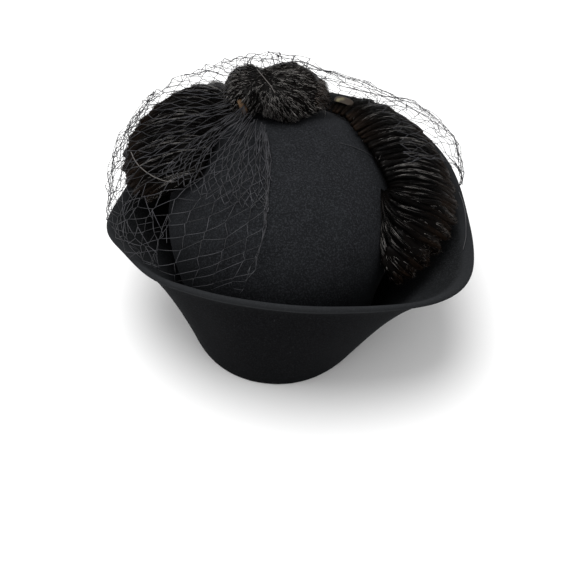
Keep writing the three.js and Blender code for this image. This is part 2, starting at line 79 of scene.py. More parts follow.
class Rows:
    """A short table with named columns, read as smooth curves by row number."""

    def __init__(self, names, *rows):
        self.names = names.split()
        self.values = np.array(rows, float)
        self.slopes = np.gradient(self.values, axis=0)
        self.last = len(rows) - 1

    def at(self, number):
        """Every column at a row number, or at many."""
        number = np.clip(np.asarray(number, float), 0, self.last)
        i = np.clip(np.floor(number).astype(int), 0, self.last - 1)
        t = (number - i)[..., None]
        value = (
            self.values[i] * (2 * t**3 - 3 * t**2 + 1)
            + self.slopes[i] * (t**3 - 2 * t**2 + t)
            + self.values[i + 1] * (3 * t**2 - 2 * t**3)
            + self.slopes[i + 1] * (t**3 - t**2)
        )
        return {name: value[..., n] for n, name in enumerate(self.names)}


RIBS = "root_bearing root_height tip_bearing tip_radius tip_height lift half pull sweep worn"
FUR_LEFT = Rows(
    RIBS,
    (222, 119, 216, 109, 111, 4, 5, 0, 1.5, 0.5),
    (233, 123, 230, 116, 111, 5, 7, 0, 1.1, 0.2),
    (246, 126, 245, 119, 108, 5, 9, 0, 0.7, 0),
    (260, 127, 260, 118, 105, 5, 9, 0, 0.3, 0),
    (274, 127, 274, 113, 104, 5, 9, 0, -0.1, 0),
    (287, 126, 286, 105, 104, 4, 7, 0, -0.4, 0),
    (299, 123, 297, 90, 107, 2, 5, 0, -0.3, 0),
)
FUR_RIGHT = Rows(
    RIBS,
    (160, 119, 159, 92, 110, 1, 3, 0, 0, 0.9),
    (146, 121, 148, 107, 101, 3, 5, 0, 0, 0.9),
    (128, 124, 136, 112, 98, 4, 7, 0, 0, 0.7),
    (112, 124, 122, 113, 97, 5, 8, 0, 0, 0.4),
    (98, 121, 108, 114, 96, 6, 8, 0, -0.1, 0),
    (87, 116, 95, 116, 95, 6, 8, 0.1, -0.4, 0),
    (78, 110, 83, 117, 93, 5, 8, 0.35, -0.8, 0),
    (69, 104, 72, 114, 88, 4, 7, 0.6, -1.0, 0),
    (60, 97, 61, 109, 82, 2, 6, 0.75, -0.8, 0),
    (53, 89, 53, 103, 76, 0, 4, 0.85, -0.3, 0),
)
VEIL = Rows(
    "in_x in_y in_z out_x out_y out_z fullness",
    (-19, 22, 135.3, -14, -96, 91.5, 2.2),
    (-24, 24, 138, -58, -91, 90, 2.2),
    (-30, 26, 142, -98, -73, 99, 2.2),
    (-34, 26, 145, -117, -38, 98, 2.0),
    (-36, 28, 147, -125, 4, 98, 2.0),
    (-38, 36, 150, -122, 47, 98, 1.8),
    (-36, 46, 152, -98, 84, 98, 1.7),
    (-30, 52, 155, -62, 104, 97, 1.7),
    (-16, 50, 158, -20, 114, 97, 1.7),
    (10, 46, 154, 28, 106, 97, 1.6),
    (38, 50, 136, 66, 101, 97, 1.7),
    (58, 34, 138, 98, 80, 97, 1.9),
    (68, 12, 137, 117, 52, 97, 2.1),
    (75, -6, 133, 121, 22, 97, 2.2),
)

# Soft folds in the brim's wall: bearing, width round it, height, reach up and down, depth out
BRIM_FOLDS = (
    (309, 12, 92, 26, -1.8),
    (270, 10, 98, 26, -2.2),
    (326, 9, 60, 38, 1.6),
    (340, 7, 50, 30, -1.0),
    (22, 12, 58, 34, 1.0),
    (40, 9, 62, 30, -0.9),
    (120, 14, 60, 34, 1.2),
    (168, 12, 50, 30, -1.0),
    (215, 15, 62, 34, 1.1),
    (265, 11, 55, 30, -0.9),
)

# Height in millimetres over which the folds fade out towards the brim's seated base
STILL_BASE = 20

# Height in metres of the brim's rolled edge, and height over which the crown's unevenness sets in
ROLLED_EDGE = 0.005
EVEN_BASE = 0.03

# Where the lower ribs of each fan are drawn together on the crown
GATHER_LEFT = {"bearing": 230, "height": 128}
GATHER_RIGHT = {"bearing": 86, "height": 117}

# The knot's lobes: centre, half sizes, and the two ends of the seam from which the hair parts
KNOT_LOBES = [
    {"centre": (-36, 49, 137), "half": (15, 25, 13), "locks": 34,
     "seam": [(-30, 60, 148), (-24, 36, 149)]},
    {"centre": (-8, 51, 138), "half": (25, 28, 15), "locks": 62,
     "seam": [(-28, 58, 148), (-15, 33, 153)]},
]

# Brown of the knot's hair: how far in front of the hat's middle it starts, the distance over
# which it would be full, and its most
KNOT_BROWN = {"from": 31.5, "reach": 90, "most": 0.6}

# Half width of a rib of the knot in millimetres, by its share of the rib's length
KNOT_RIB = {"share": (0, 0.3, 0.85, 1), "width": (0.4, 1.1, 1.2, 0.3), "steps": 15}

# Heights between which the fringe stands below the knot
FRINGE_LOW, FRINGE_HIGH = 124, 142

# The knot's tail: how far right of the hat's middle it starts, and where it points
KNOT_TAIL = {"from": 12, "heading": (0.85, 0.1, -0.5)}

# Net layers: the whole veil, and a second thickness of it where it is gathered over the crown
NET_LAYERS = [
    {"u": (0.0, 1.0), "v": (0.06, 1.0), "cells": 46, "rows": 6, "ease": 1.0, "lean": 0.8,
     "stray": 1.0},
    {"u": (0.0, 0.16), "v": (0.03, 0.46), "cells": 15, "rows": 5, "ease": 0.6, "lean": -0.3,
     "stray": 0.8},
    {"u": (0.1, 0.4), "v": (0.62, 1.0), "cells": 15, "rows": 3, "ease": 1.0, "lean": -0.9,
     "stray": 2.0},
]

# Loose threads, by the photo's pixels in 580 x 580, laid on the piece that they cross
PHOTO_WIDTH = 580
LOOSE_THREADS = [
    {"lies_on": "fur_left", "radius": 0.36, "above": 3.4, "pale": 0.75,
     "pixels": [(130, 145), (131, 152), (134, 159), (139, 166), (146, 172), (154, 177), (164, 181),
                (174, 182)]},
    {"lies_on": "crown", "radius": 0.25, "above": 0.8, "pale": 0.0,
     "pixels": [(340, 143), (352, 146), (366, 152), (378, 160), (386, 168)]},
    {"lies_on": "fur_knot", "radius": 0.28, "above": 2.2, "pale": 0.6,
     "pixels": [(257, 69), (261, 74), (266, 80), (271, 86), (275, 93)]},
    {"lies_on": "brim", "radius": 0.25, "above": 1.0, "pale": 0.1,
     "pixels": [(459, 192), (463, 202), (465, 212), (466, 224), (466, 238), (463, 250)]},
]


def place(bearing, radius, height):
    """Position in metres from a bearing, radius and height in millimetres."""
    angle = np.radians(bearing)
    across = np.stack([radius * np.sin(angle), -radius * np.cos(angle), height + 0 * angle], -1)
    return across * MM + AXIS


def unit(vectors):
    return vectors / np.maximum(np.linalg.norm(vectors, axis=-1, keepdims=True), 1e-12)


def laid(vectors, normals):
    """Directions laid flat on the faces that the normals stand on."""
    return unit(vectors - normals * np.sum(vectors * normals, -1, keepdims=True))


def outward_of(points, rise=0):
    """Directions away from the hat's axis, with a share of their height."""
    return unit((points - AXIS) * (1, 1, rise))


def sampled(column, places, at):
    """A column of numbers or points, read between its places."""
    if column.ndim == 1:
        return np.interp(at, places, column)
    return np.stack([np.interp(at, places, column[:, n]) for n in range(3)], -1)


def eased(line, rounds):
    """A line of points with the middle ones drawn towards their neighbours."""
    for _ in range(rounds):
        middle = (line[:-2] + 2 * line[1:-1] + line[2:]) / 4
        line = np.concatenate([line[:1], middle, line[-1:]])
    return line


def scaled(colour, share):
    return [channel * share for channel in colour]


# Shader expressions

class Link:
    """A shader socket that can stand in Python expressions."""

    def __init__(self, shader, socket):
        self.shader = shader
        self.socket = socket

    def math(self, operation, *values):
        return self.shader.node(
            "ShaderNodeMath", {"operation": operation}, dict(enumerate(values))
        )

    def __add__(self, other):
        return self.math("ADD", self, other)

    def __radd__(self, other):
        return self.math("ADD", other, self)

    def __rsub__(self, other):
        return self.math("SUBTRACT", other, self)

    def __mul__(self, other):
        return self.math("MULTIPLY", self, other)


class Shader:
    """One material, with the nodes that make its finish."""

    def __init__(self, name):
        self.material = bpy.data.materials.new(name)
        self.material.use_nodes = True
        self.tree = self.material.node_tree
        self.tree.nodes.clear()

    def node(self, kind, settings, sockets, result=0):
        """A node with its settings made first, then the values or links of its sockets."""
        made = self.tree.nodes.new(kind)
        for name, value in settings.items():
            if name == "stops":
                self.set_stops(made.color_ramp, value)
            else:
                setattr(made, name, value)
        for name, value in sockets.items():
            if isinstance(value, Link):
                self.tree.links.new(value.socket, made.inputs[name])
            else:
                made.inputs[name].default_value = value
        return Link(self, made.outputs[result])

    @staticmethod
    def set_stops(ramp, stops):
        while len(ramp.elements) < len(stops):
            ramp.elements.new(0.5)
        for element, (position, value) in zip(ramp.elements, stops):
            element.position = position
            element.color = (value, value, value, 1)

    def grain(self, scale, detail=3, roughness=0.55, distortion=0):
        """Noise from 0 to 1 through the object's own space, with its scale per metre."""
        sockets = {
            "Vector": self.node("ShaderNodeTexCoord", {}, {}, "Object"),
            "Scale": scale,
            "Detail": detail,
            "Roughness": roughness,
            "Distortion": distortion,
        }
        return self.node("ShaderNodeTexNoise", {}, sockets, "Fac")

    def ramp(self, value, *stops):
        """Value bent through stops of (position, level)."""
        return self.node("ShaderNodeValToRGB", {"stops": stops}, {"Fac": value})

    def blend(self, share, first, second):
        """Colour from first to second by share."""
        colours = [c if isinstance(c, Link) else (*c, 1) for c in (first, second)]
        sockets = {0: share, 6: colours[0], 7: colours[1]}
        return self.node("ShaderNodeMix", {"data_type": "RGBA"}, sockets, 2)

    def tone(self, name):
        """One of the numbers kept on the mesh, by its attribute's name."""
        return self.node("ShaderNodeAttribute", {"attribute_name": name}, {}, "Fac")

    def bump(self, height, strength, distance):
        sockets = {"Strength": strength, "Distance": distance, "Height": height}
        return self.node("ShaderNodeBump", {}, sockets)

    def finish(self, **sockets):
        """The surface itself, from the named sockets of the main shader."""
        named = {name.replace("_", " "): value for name, value in sockets.items()}
        surface = self.node("ShaderNodeBsdfPrincipled", {}, named)
        output = self.tree.nodes.new("ShaderNodeOutputMaterial")
        self.tree.links.new(surface.socket, output.inputs["Surface"])
        return self.material


def felt_material(name, colour, settings):
    """Matt pressed felt: fine nap, faint mottling and lint, lighter on the rolled edge as painted
    highlight, and darker on the brim's outside as painted shade.
    """
    shader = Shader(name)
    nap = shader.grain(settings.nap_scale, 4, 0.7)
    fibres = shader.grain(settings.nap_scale * 0.32, 3, 0.6, distortion=1.5)
    mottling = shader.grain(55, 4, 0.6)
    outside = shader.tone("outside")
    shade = shader.ramp(mottling, (0.3, 0.0), (0.7, 1.0))
    body = shader.blend(shade, scaled(colour, 0.66), scaled(colour, 0.96))
    # Painted shade: the outside of the brim, which faces down away from the light above, is darkened
    # to the cuff's shade colour, and its flecks are weakened there.
    shaded_cuff = shader.blend(outside, body, settings.cuff_shade_colour)
    flecks = shader.ramp(nap, (0.48, 0.0), (0.64, 0.9)) * (1 - outside * 0.6)
    flecked = shader.blend(flecks, shaded_cuff, scaled(colour, 2.6))
    lint = shader.ramp(shader.grain(620, 2), (0.7, 0.0), (0.74, 0.8))
    linted = shader.blend(lint * 0.7, flecked, settings.lint_and_edge_highlight_colour)
    # Painted highlight: the rolled edge is lightened where light falls on its top.
    highlighted_edge = shader.blend(shader.tone("rolled") * 0.5, linted, settings.lint_and_edge_highlight_colour)
    return shader.finish(
        Base_Color=highlighted_edge,
        Roughness=0.86 + nap * 0.12,
        Sheen_Weight=settings.sheen,
        Sheen_Roughness=0.45,
        Sheen_Tint=(0.85, 0.9, 1.0, 1),
        Specular_IOR_Level=0.04,
        Normal=shader.bump(nap * 0.6 + fibres * 0.7, 0.55, settings.nap_depth * 0.9),
    )


def fur_material(name, settings):
    """Dark combed fur: a few pale strands as painted highlights, lying along the ribs' crests with
    painted shade toward the valleys, brown at the tips and where it is worn.
    """
    shader = Shader(name)
    tip = shader.tone("tip")
    chance = shader.tone("chance")
    edge = shader.tone("edge")
    patches = shader.ramp(shader.grain(90, 3), (0.4, 0.0), (0.66, 1.0))
    # Painted shade and painted highlight: on the ribs the strand tone follows the light, so hairs
    # toward the valleys are darker and the pale strands lie along the crests; elsewhere the tone is
    # random.
    root = shader.blend(
        shader.ramp(chance, (0.3, 0.0), (0.8, 1.0)), settings.dark_colour, settings.mid_colour
    )
    strand = shader.blend(shader.ramp(chance, (0.6, 0.0), (0.92, 1.0)), root, settings.pale_colour)
    warmed = shader.blend(edge * (0.3 + chance * 0.7), strand, settings.brown_colour)
    worn = shader.blend(patches * tip * 0.08, warmed, settings.brown_colour)
    strands = shader.grain(900, 3, 0.6)
    return shader.finish(
        Base_Color=worn,
        Roughness=0.28 + edge * 0.35 + chance * 0.1,
        Specular_IOR_Level=settings.gloss,
        Normal=shader.bump(strands, 0.35, 0.0004),
    )


def net_material(name, settings):
    """Fine dark thread with a faint silk gloss."""
    shader = Shader(name)
    twist = shader.grain(1500, 2)
    thread = settings.thread_colour
    body = shader.blend(shader.tone("chance"), thread, scaled(thread, 5.5))
    pale = shader.blend(shader.tone("edge"), body, settings.pale_colour)
    return shader.finish(
        Base_Color=pale,
        Roughness=0.42 + twist * 0.2,
        Specular_IOR_Level=0.3,
        Normal=shader.bump(twist, 0.3, 0.0001),
    )


# Share of each colour that is left where hide is darker at its border
HIDE_BORDER_SHARE = (0.16, 0.11, 0.1)


def hide_material(name, colour):
    """Bare tanned hide: pores, wrinkles and darker handled spots."""
    shader = Shader(name)
    pores = shader.grain(1100, 4, 0.65)
    wrinkles = shader.grain(260, 3, 0.55, distortion=2.5)
    spots = shader.ramp(shader.grain(170, 3), (0.42, 0.0), (0.68, 1.0))
    spotted = shader.blend(spots * 0.6, colour, scaled(colour, 0.55))
    body = shader.blend(shader.tone("edge"), spotted, [c * s for c, s in zip(colour, HIDE_BORDER_SHARE)])
    return shader.finish(
        Base_Color=body,
        Roughness=0.55 + pores * 0.25,
        Specular_IOR_Level=0.35,
        Normal=shader.bump(pores * 0.4 + wrinkles, 0.6, 0.0004),
    )


# Mesh tools

def tree_of(item):
    """Search tree over an object's mesh."""
    points = [vertex.co.copy() for vertex in item.data.vertices]
    return BVHTree.FromPolygons(points, [list(face.vertices) for face in item.data.polygons])


def cad_tree(node):
    return tree_of(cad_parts[node])


# How far away a face is looked for, and how deep behind it a point is still brought out
FACE_WITHIN = 0.02
DEEPEST = 0.012

# Least gaps over the felt: hairs, and the ribs that they grow on
HAIR_GAP = 0.15 * MM
RIB_GAP = 0.3 * MM


def kept_clear(points, clearance, *trees):
    """Points moved out along the nearest faces until they stand clear of them."""
    flat = points.reshape(-1, 3).copy()
    for tree in trees:
        for n, point in enumerate(flat):
            spot, normal, _, distance = tree.find_nearest(Vector(point), FACE_WITHIN)
            if spot is None or distance >= DEEPEST:
                continue
            if (Vector(point) - spot).dot(normal) < clearance:
                flat[n] = spot + normal * clearance
    return flat.reshape(points.shape)


def linked(name, data):
    """A new object in the scene."""
    item = bpy.data.objects.new(name, data)
    bpy.context.scene.collection.objects.link(item)
    return item


def evaluated_copy(item, name):
    """A new mesh object from an object with its modifiers applied, and the old one removed."""
    bpy.context.view_layer.update()
    graph = bpy.context.evaluated_depsgraph_get()
    mesh = bpy.data.meshes.new_from_object(item.evaluated_get(graph))
    mesh.name = name
    bpy.data.objects.remove(item)
    return linked(name, mesh)


def working_copy(node):
    """A welded copy of a CAD node's mesh, with its triangles joined to quads."""
    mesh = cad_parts[node].data.copy()
    mesh.materials.clear()
    form = bmesh.new()
    form.from_mesh(mesh)
    bmesh.ops.remove_doubles(form, verts=form.verts, dist=0.00001)
    bmesh.ops.join_triangles(
        form, faces=form.faces, angle_face_threshold=math.pi, angle_shape_threshold=math.pi
    )
    form.to_mesh(mesh)
    form.free()
    return linked("working", mesh)


def subdivided(node, name, levels):
    item = working_copy(node)
    modifier = item.modifiers.new("subdivision", "SUBSURF")
    modifier.levels = levels
    modifier.render_levels = levels
    return evaluated_copy(item, name)


def softened(node, name, voxel, rounds):
    """A CAD node's form remeshed and eased, as the backing that fur grows on."""
    item = working_copy(node)
    remesh = item.modifiers.new("remesh", "REMESH")
    remesh.mode = "VOXEL"
    remesh.voxel_size = voxel
    ease = item.modifiers.new("ease", "SMOOTH")
    ease.factor = 0.5
    ease.iterations = rounds
    return evaluated_copy(item, name)


def points_of(mesh):
    values = np.empty(len(mesh.vertices) * 3)
    mesh.vertices.foreach_get("co", values)
    return values.reshape(-1, 3)


def normals_of(mesh):
    return np.array([vertex.normal for vertex in mesh.vertices])


def set_points(mesh, points):
    mesh.vertices.foreach_set("co", points.ravel())
    mesh.update()


def set_tone(mesh, name, values):
    """Keeps one number a vertex on a mesh, for its material."""
    tone = mesh.attributes.new(name, "FLOAT", "POINT")
    tone.data.foreach_set("value", np.asarray(values, np.float32))


def finished(item, material, node):
    """Gives a piece its material in its slot, smooth shading and the root body, and hides the CAD
    node that it stands for.
    """
    item.data.materials.clear()
    item.data.materials.append(material)
    item.data.polygons.foreach_set("use_smooth", np.ones(len(item.data.polygons), bool))
    item.data.update()
    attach(item, "root")
    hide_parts(node)


# Numbers kept at every vertex of a piece, for its material
TONES = ("tip", "chance", "edge")


class Piece:
    """Points, faces and tones gathered from many small parts and joined as one mesh."""

    def __init__(self, name):
        self.name = name
        self.points = []
        self.faces = []
        self.tones = []
        self.count = 0

    def add(self, points, faces, tip=0.0, chance=0.5, edge=0.0):
        points = np.asarray(points, float).reshape(-1, 3)
        for group in faces:
            self.faces.extend((np.asarray(group) + self.count).tolist())
        tones = [np.broadcast_to(np.asarray(t, float), len(points)) for t in (tip, chance, edge)]
        self.points.append(points)
        self.tones.append(np.stack(tones, -1))
        self.count += len(points)

    def made(self):
        mesh = bpy.data.meshes.new(self.name)
        mesh.from_pydata(np.concatenate(self.points).tolist(), [], self.faces)
        tones = np.concatenate(self.tones)
        for n, name in enumerate(TONES):
            set_tone(mesh, name, tones[:, n])
        return linked(self.name, mesh)


def grid_faces(rows, columns):
    """Quads between rows of points, with each row's end joined to its start."""
    row, column = np.meshgrid(np.arange(rows - 1), np.arange(columns), indexing="ij")
    after = (column + 1) % columns
    corners = [row * columns + column, row * columns + after,
               (row + 1) * columns + after, (row + 1) * columns + column]
    return np.stack(corners, -1).reshape(-1, 4)


def add_tube(piece, rings, tip, chance, edge):
    """A closed tube through rings of points, with its ends closed by flat caps."""
    rows, columns = rings.shape[:2]
    faces = grid_faces(rows, columns)
    first = [list(range(columns))[::-1]]
    last = [list(range((rows - 1) * columns, rows * columns))]
    spread = [np.repeat(np.broadcast_to(t, rows), columns) for t in (tip, chance, edge)]
    piece.add(rings, [faces, first, last], *spread)


def rings_round(lines, width, turns, lean):
    """Corners round every station of many lines (line, station, xyz), at the given turns."""
    along = unit(np.gradient(lines, axis=1))
    aside = unit(np.cross(along, UP + lean))
    above = np.cross(aside, along)
    corners = [lines + width * (math.cos(t) * aside + math.sin(t) * above) for t in turns]
    return np.stack(corners, 2)


def repeated(faces, count, each):
    """The faces of one small part, repeated for many that have as many points each."""
    faces = np.array(faces)
    return ((np.arange(count) * each)[:, None, None] + faces).reshape(-1, faces.shape[1])


def add_spikes(piece, stations, radius, tip_from, chance, edge):
    """Slender closed hairs, three-sided and drawn to a point (hair, station, xyz)."""
    count, steps = stations.shape[:2]
    share = np.linspace(0, 1, steps)
    width = (np.asarray(radius)[:, None] * (1 - share**1.6) + 1e-6)[..., None]
    turns = (math.pi / 2, math.pi * 7 / 6, math.pi * 11 / 6)
    body = rings_round(stations, width, turns, 0.01)[:, :-1].reshape(count, -1, 3)
    points = np.concatenate([body, stations[:, -1:]], 1)
    each = points.shape[1]
    last = each - 4
    ends = [[2, 1, 0], *([last + side, last + (side + 1) % 3, each - 1] for side in range(3))]
    groups = [repeated(group, count, each) for group in (grid_faces(steps - 1, 3), ends)]
    tips = tip_from + (1 - tip_from) * np.concatenate([np.repeat(share[:-1], 3), [1.0]])
    chance, edge = (np.repeat(np.broadcast_to(tone, count), each) for tone in (chance, edge))
    piece.add(points, groups, np.tile(tips, count), chance, edge)


def scattered(mesh, count, rng):
    """Seeds spread evenly over a mesh: positions and outward directions."""
    mesh.calc_loop_triangles()
    corners = np.empty(len(mesh.loop_triangles) * 3, int)
    mesh.loop_triangles.foreach_get("vertices", corners)
    corners = points_of(mesh)[corners.reshape(-1, 3)]
    cross = np.cross(corners[:, 1] - corners[:, 0], corners[:, 2] - corners[:, 0])
    area = np.linalg.norm(cross, axis=1)
    chosen = rng.choice(len(area), count, p=area / area.sum())
    first, second = rng.random((2, count, 1))
    over = first + second > 1
    first, second = np.where(over, 1 - first, first), np.where(over, 1 - second, second)
    a, b, c = corners[chosen].transpose(1, 0, 2)
    return a + (b - a) * first + (c - a) * second, unit(cross[chosen])


def grown(seeds, normals, flow, length, lift, droop, rng, splay):
    """Hairs through three stations, lying along the flow and lifting off toward their tips."""
    heading = laid(flow + rng.normal(0, splay, (len(seeds), 3)), normals)
    length = length[:, None]
    lift = lift[:, None]
    base = seeds - normals * 0.4 * MM
    middle = seeds + heading * length * 0.5 + normals * lift * 0.75
    tip = seeds + heading * length + normals * lift - UP * droop * length
    return np.stack([base, middle, tip], 1)


def add_hairs(piece, stations, gap, clear_of, settings, rng, thickness=(0.6, 1.2), bright=None,
              edge=0.0, tip_from=0.2):
    """Hairs kept clear of what is under them, each with its own thickness and shade.

    The thickness is drawn between two shares of the hair radius. Bright changes the drawn shade.
    An edge is given for each hair, or drawn between the two ends of a pair.
    """
    count = len(stations)
    stations = kept_clear(stations, gap, *clear_of)
    radius = rng.uniform(*thickness, count) * settings.hair_radius * MM
    chance = rng.random(count)
    if bright:
        chance = bright(chance)
    if isinstance(edge, tuple):
        edge = rng.uniform(*edge, count)
    add_spikes(piece, stations, radius, tip_from, chance, edge)


# Felt

def on_crown(tree, bearing, height, out):
    """Point on the crown's outer face at a bearing and height, moved out along its normal."""
    outside = Vector(place(bearing, 200, height))
    inward = Vector(AXIS + UP * height * MM) - outside
    spot, normal, _, _ = tree.ray_cast(outside, inward.normalized())
    if spot is None:
        raise RuntimeError(f"no crown at bearing {bearing}, height {height}")
    return np.array(spot + normal * out * MM)


def bearings_of(points):
    """Bearing of some points in degrees."""
    away = points - AXIS
    return np.degrees(np.arctan2(away[:, 0], -away[:, 1])) % 360


def folded_brim(points, strength):
    """The brim's wall with its soft folds, both faces moved together."""
    bearing, outward, height = bearings_of(points), outward_of(points), points[:, 2] / MM
    free = np.clip(height / STILL_BASE, 0, 1) ** 2
    for middle, width, level, reach, depth in BRIM_FOLDS:
        turn = (bearing - middle + 180) % 360 - 180
        share = np.exp(-((turn / width) ** 2) - ((height - level) / reach) ** 2)
        points = points + outward * (share * free * depth * strength * MM)[:, None]
    return points


def uneven(points, size, depth):
    """Slow unevenness of hand-blocked felt."""
    wander = np.array([noise.noise(Vector(point) / size) for point in points])
    return wander * depth


def rolled_share(points, band):
    """1 on the brim's rolled edge and 0 below it, from the highest point at each bearing: the mask of
    the painted highlight on the edge.
    """
    bins = 120
    number = (bearings_of(points) / 360 * bins).astype(int) % bins
    top = np.zeros(bins)
    np.maximum.at(top, number, points[:, 2])
    return np.clip((points[:, 2] - top[number] + band) / (0.4 * band), 0, 1)


def cuff_shade_share(mesh):
    """1 where a mesh faces away from the hat's axis and 0 where it faces the axis: the mask of the
    painted shade on the brim's outside.
    """
    facing = np.sum(normals_of(mesh) * outward_of(points_of(mesh)), 1)
    return np.clip(0.5 + facing, 0, 1)


# Fur

class Fan:
    """The lines of a fur fan: k runs over its table's rows, s from a rib's root to its tip."""

    SAMPLES = 121
    HOOK = 0.8
    SETBACK = 0.2

    def __init__(self, rows, gather, tree):
        self.last = rows.last
        self.k = np.linspace(0, rows.last, self.SAMPLES)
        at = rows.at(self.k)
        self.half = at["half"] * MM
        self.lift = at["lift"] * MM
        self.sweep = at["sweep"]
        self.worn = at["worn"]
        self.tip = place(at["tip_bearing"], at["tip_radius"], at["tip_height"])
        spots = zip(at["root_bearing"], at["root_height"], at["half"] * self.SETBACK)
        root = np.array([on_crown(tree, *spot) for spot in spots])
        hub = on_crown(tree, gather["bearing"], gather["height"], 2)
        pull = at["pull"][:, None]
        self.root = root + (hub - root) * pull
        middle = (self.root + self.tip) / 2
        self.bend = middle + (root + (root - middle) * self.HOOK - middle) * pull

    def read(self, column, k):
        """A column of the fan's lines at k."""
        return sampled(column, self.k, k)

    def path(self, k, s, sweep=1.0):
        """Point of the line k at s, its tip swept over towards other lines."""
        k, s = np.broadcast_arrays(np.asarray(k, float), np.asarray(s, float))
        k = k + self.read(self.sweep, k) * sweep * np.maximum(s, 0) ** 1.5
        root, bend, tip = (self.read(c, k) for c in (self.root, self.bend, self.tip))
        t = s[..., None]
        line = root * (1 - t) ** 2 + bend * 2 * t * (1 - t) + tip * t**2
        return line + UP * (self.read(self.lift, k) * 4 * s * (1 - s))[..., None]

    def speed(self, k):
        """How far the line at k runs for each unit of s, at its tip."""
        return np.linalg.norm(self.path(k, 1.0) - self.path(k, 0.98)) / 0.02

    def frame(self, k, s):
        """Directions along the fan's line at k and s, and aside from it."""
        along = unit(self.path(k, s + 0.02) - self.path(k, s - 0.02))
        aside = self.path(np.minimum(k + 0.1, self.last), s) - self.path(np.maximum(k - 0.1, 0), s)
        return along, laid(aside, along)


# A rib's height over the backing, as shares of the fan's half thickness: at its middle and all along
RIB_RISE = 0.6
RIB_DEPTH = 0.62

# A rib's half width as a share of the room between ribs, and its least and most in millimetres
LOCK_BREADTH = 0.52
LOCK_WIDTHS = (0.8, 2.6)
LOCK_STATIONS = 15


class Lock:
    """One rib of a fan: a line laid over the backing, with its width and directions."""

    def __init__(self, fan, number, count, backing, settings, rng):
        spot = (number + rng.uniform(-0.2, 0.2)) / (count - 1)
        self.k = fan.last * min(max(spot, 0.004), 0.996)
        self.s = np.linspace(0, 1, LOCK_STATIONS)
        step = fan.last / count / 2
        low, high = max(self.k - step, 0), min(self.k + step, fan.last)
        reach = np.linalg.norm(fan.path(high, self.s) - fan.path(low, self.s), axis=-1)
        taper = np.sin(np.pi * (0.1 + 0.8 * self.s)) ** 0.5
        self.width = np.clip(reach * LOCK_BREADTH, LOCK_WIDTHS[0] * MM, LOCK_WIDTHS[1] * MM) * taper
        sway = rng.uniform(-1, 1)
        wander = np.clip(self.k + sway * 0.07 * np.sin(5 * self.s + sway * 9), 0, fan.last)
        past = 1 + rng.uniform(0.2, 1.0) * settings.overhang * MM / fan.speed(self.k)
        line = fan.path(wander, self.s * past)
        half = fan.read(fan.half, self.k)
        rise = RIB_RISE * np.sin(np.pi * (0.15 + 0.8 * self.s)) + RIB_DEPTH * taper
        line = line + UP * (half * rise * rng.uniform(0.9, 1.06) - self.width)[:, None]
        line = eased(kept_clear(line, -0.1 * MM, backing), 2)
        self.line = line
        self.along = unit(np.gradient(line, axis=0))
        self.aside = laid(fan.frame(np.full(self.s.shape, self.k), self.s)[1], self.along)
        above = np.cross(self.aside, self.along)
        self.above = above * np.sign(above[:, 2:] + 1e-9)
        self.length = np.linalg.norm(np.diff(line, axis=0), axis=1).sum()
        self.worn = float(fan.read(fan.worn, self.k))

    def edge(self, s):
        """How brown the rib is at s: at its tip, and at its root where that is worn."""
        return np.clip((s - 0.82) / 0.2, 0, 1) * 0.9 + np.clip(1 - s / 0.4, 0, 1) * self.worn

    def read(self, column, s):
        return sampled(column, self.s, s)

    def at(self, s, turn, out=0.0):
        """Point of the rib's surface at s, at a turn round it, moved out by a distance."""
        s, turn, out = np.broadcast_arrays(s, turn, out)
        past = np.maximum(s - 1, 0)[..., None] * self.length
        middle = self.read(self.line, s) + self.read(self.along, s) * past
        width = self.read(self.width, s)[..., None] + out[..., None]
        aside = self.read(self.aside, s) * np.cos(turn)[..., None]
        return middle + (aside + self.read(self.above, s) * np.sin(turn)[..., None] * 1.1) * width


def add_lock(piece, lock, felt, chance):
    """The rib itself, a closed tube clear of the felt."""
    turn = np.linspace(0, 2 * np.pi, 8, endpoint=False)[None]
    rings = kept_clear(lock.at(lock.s[:, None], turn), RIB_GAP, felt)
    add_tube(piece, rings, tip=lock.s * 0.5, chance=chance, edge=lock.edge(lock.s) * 0.7)


def add_lock_hairs(piece, lock, felt, count, settings, rng):
    """Hairs combed along one rib, the last ones reaching a little past its tip, drawn lighter along
    the rib's crest as painted highlight.
    """
    span = rng.uniform(0.5, 1.0, count) * settings.rib_hair_length * MM / lock.length
    start = rng.random(count) * (1.03 - span)
    turn = np.radians(rng.uniform(5, 175, count))
    lift = rng.uniform(0.1, 1.0, count) ** 2 * settings.lift * MM
    drift = rng.normal(0, 0.1, count)
    stations = []
    for reach, out in ((0.0, -0.05 * MM), (0.5, 0.13 * MM + lift * 0.4), (1.0, 0.1 * MM + lift)):
        stations.append(lock.at(start + span * reach, turn + drift * reach, out))
    # Painted highlight and painted shade: hairs over the top of the rib and along its middle get
    # lighter tones, those at its sides and ends darker.
    lit = np.sin(turn) ** 1.5 * np.sin(np.pi * np.clip(start + span / 2, 0, 1)) ** 0.5
    add_hairs(
        piece, np.stack(stations, 1), HAIR_GAP, [felt], settings, rng,
        bright=lambda chance: chance * lit * rng.uniform(0.7, 1.2),
        edge=np.clip(lock.edge(start + span), 0, 1),
    )


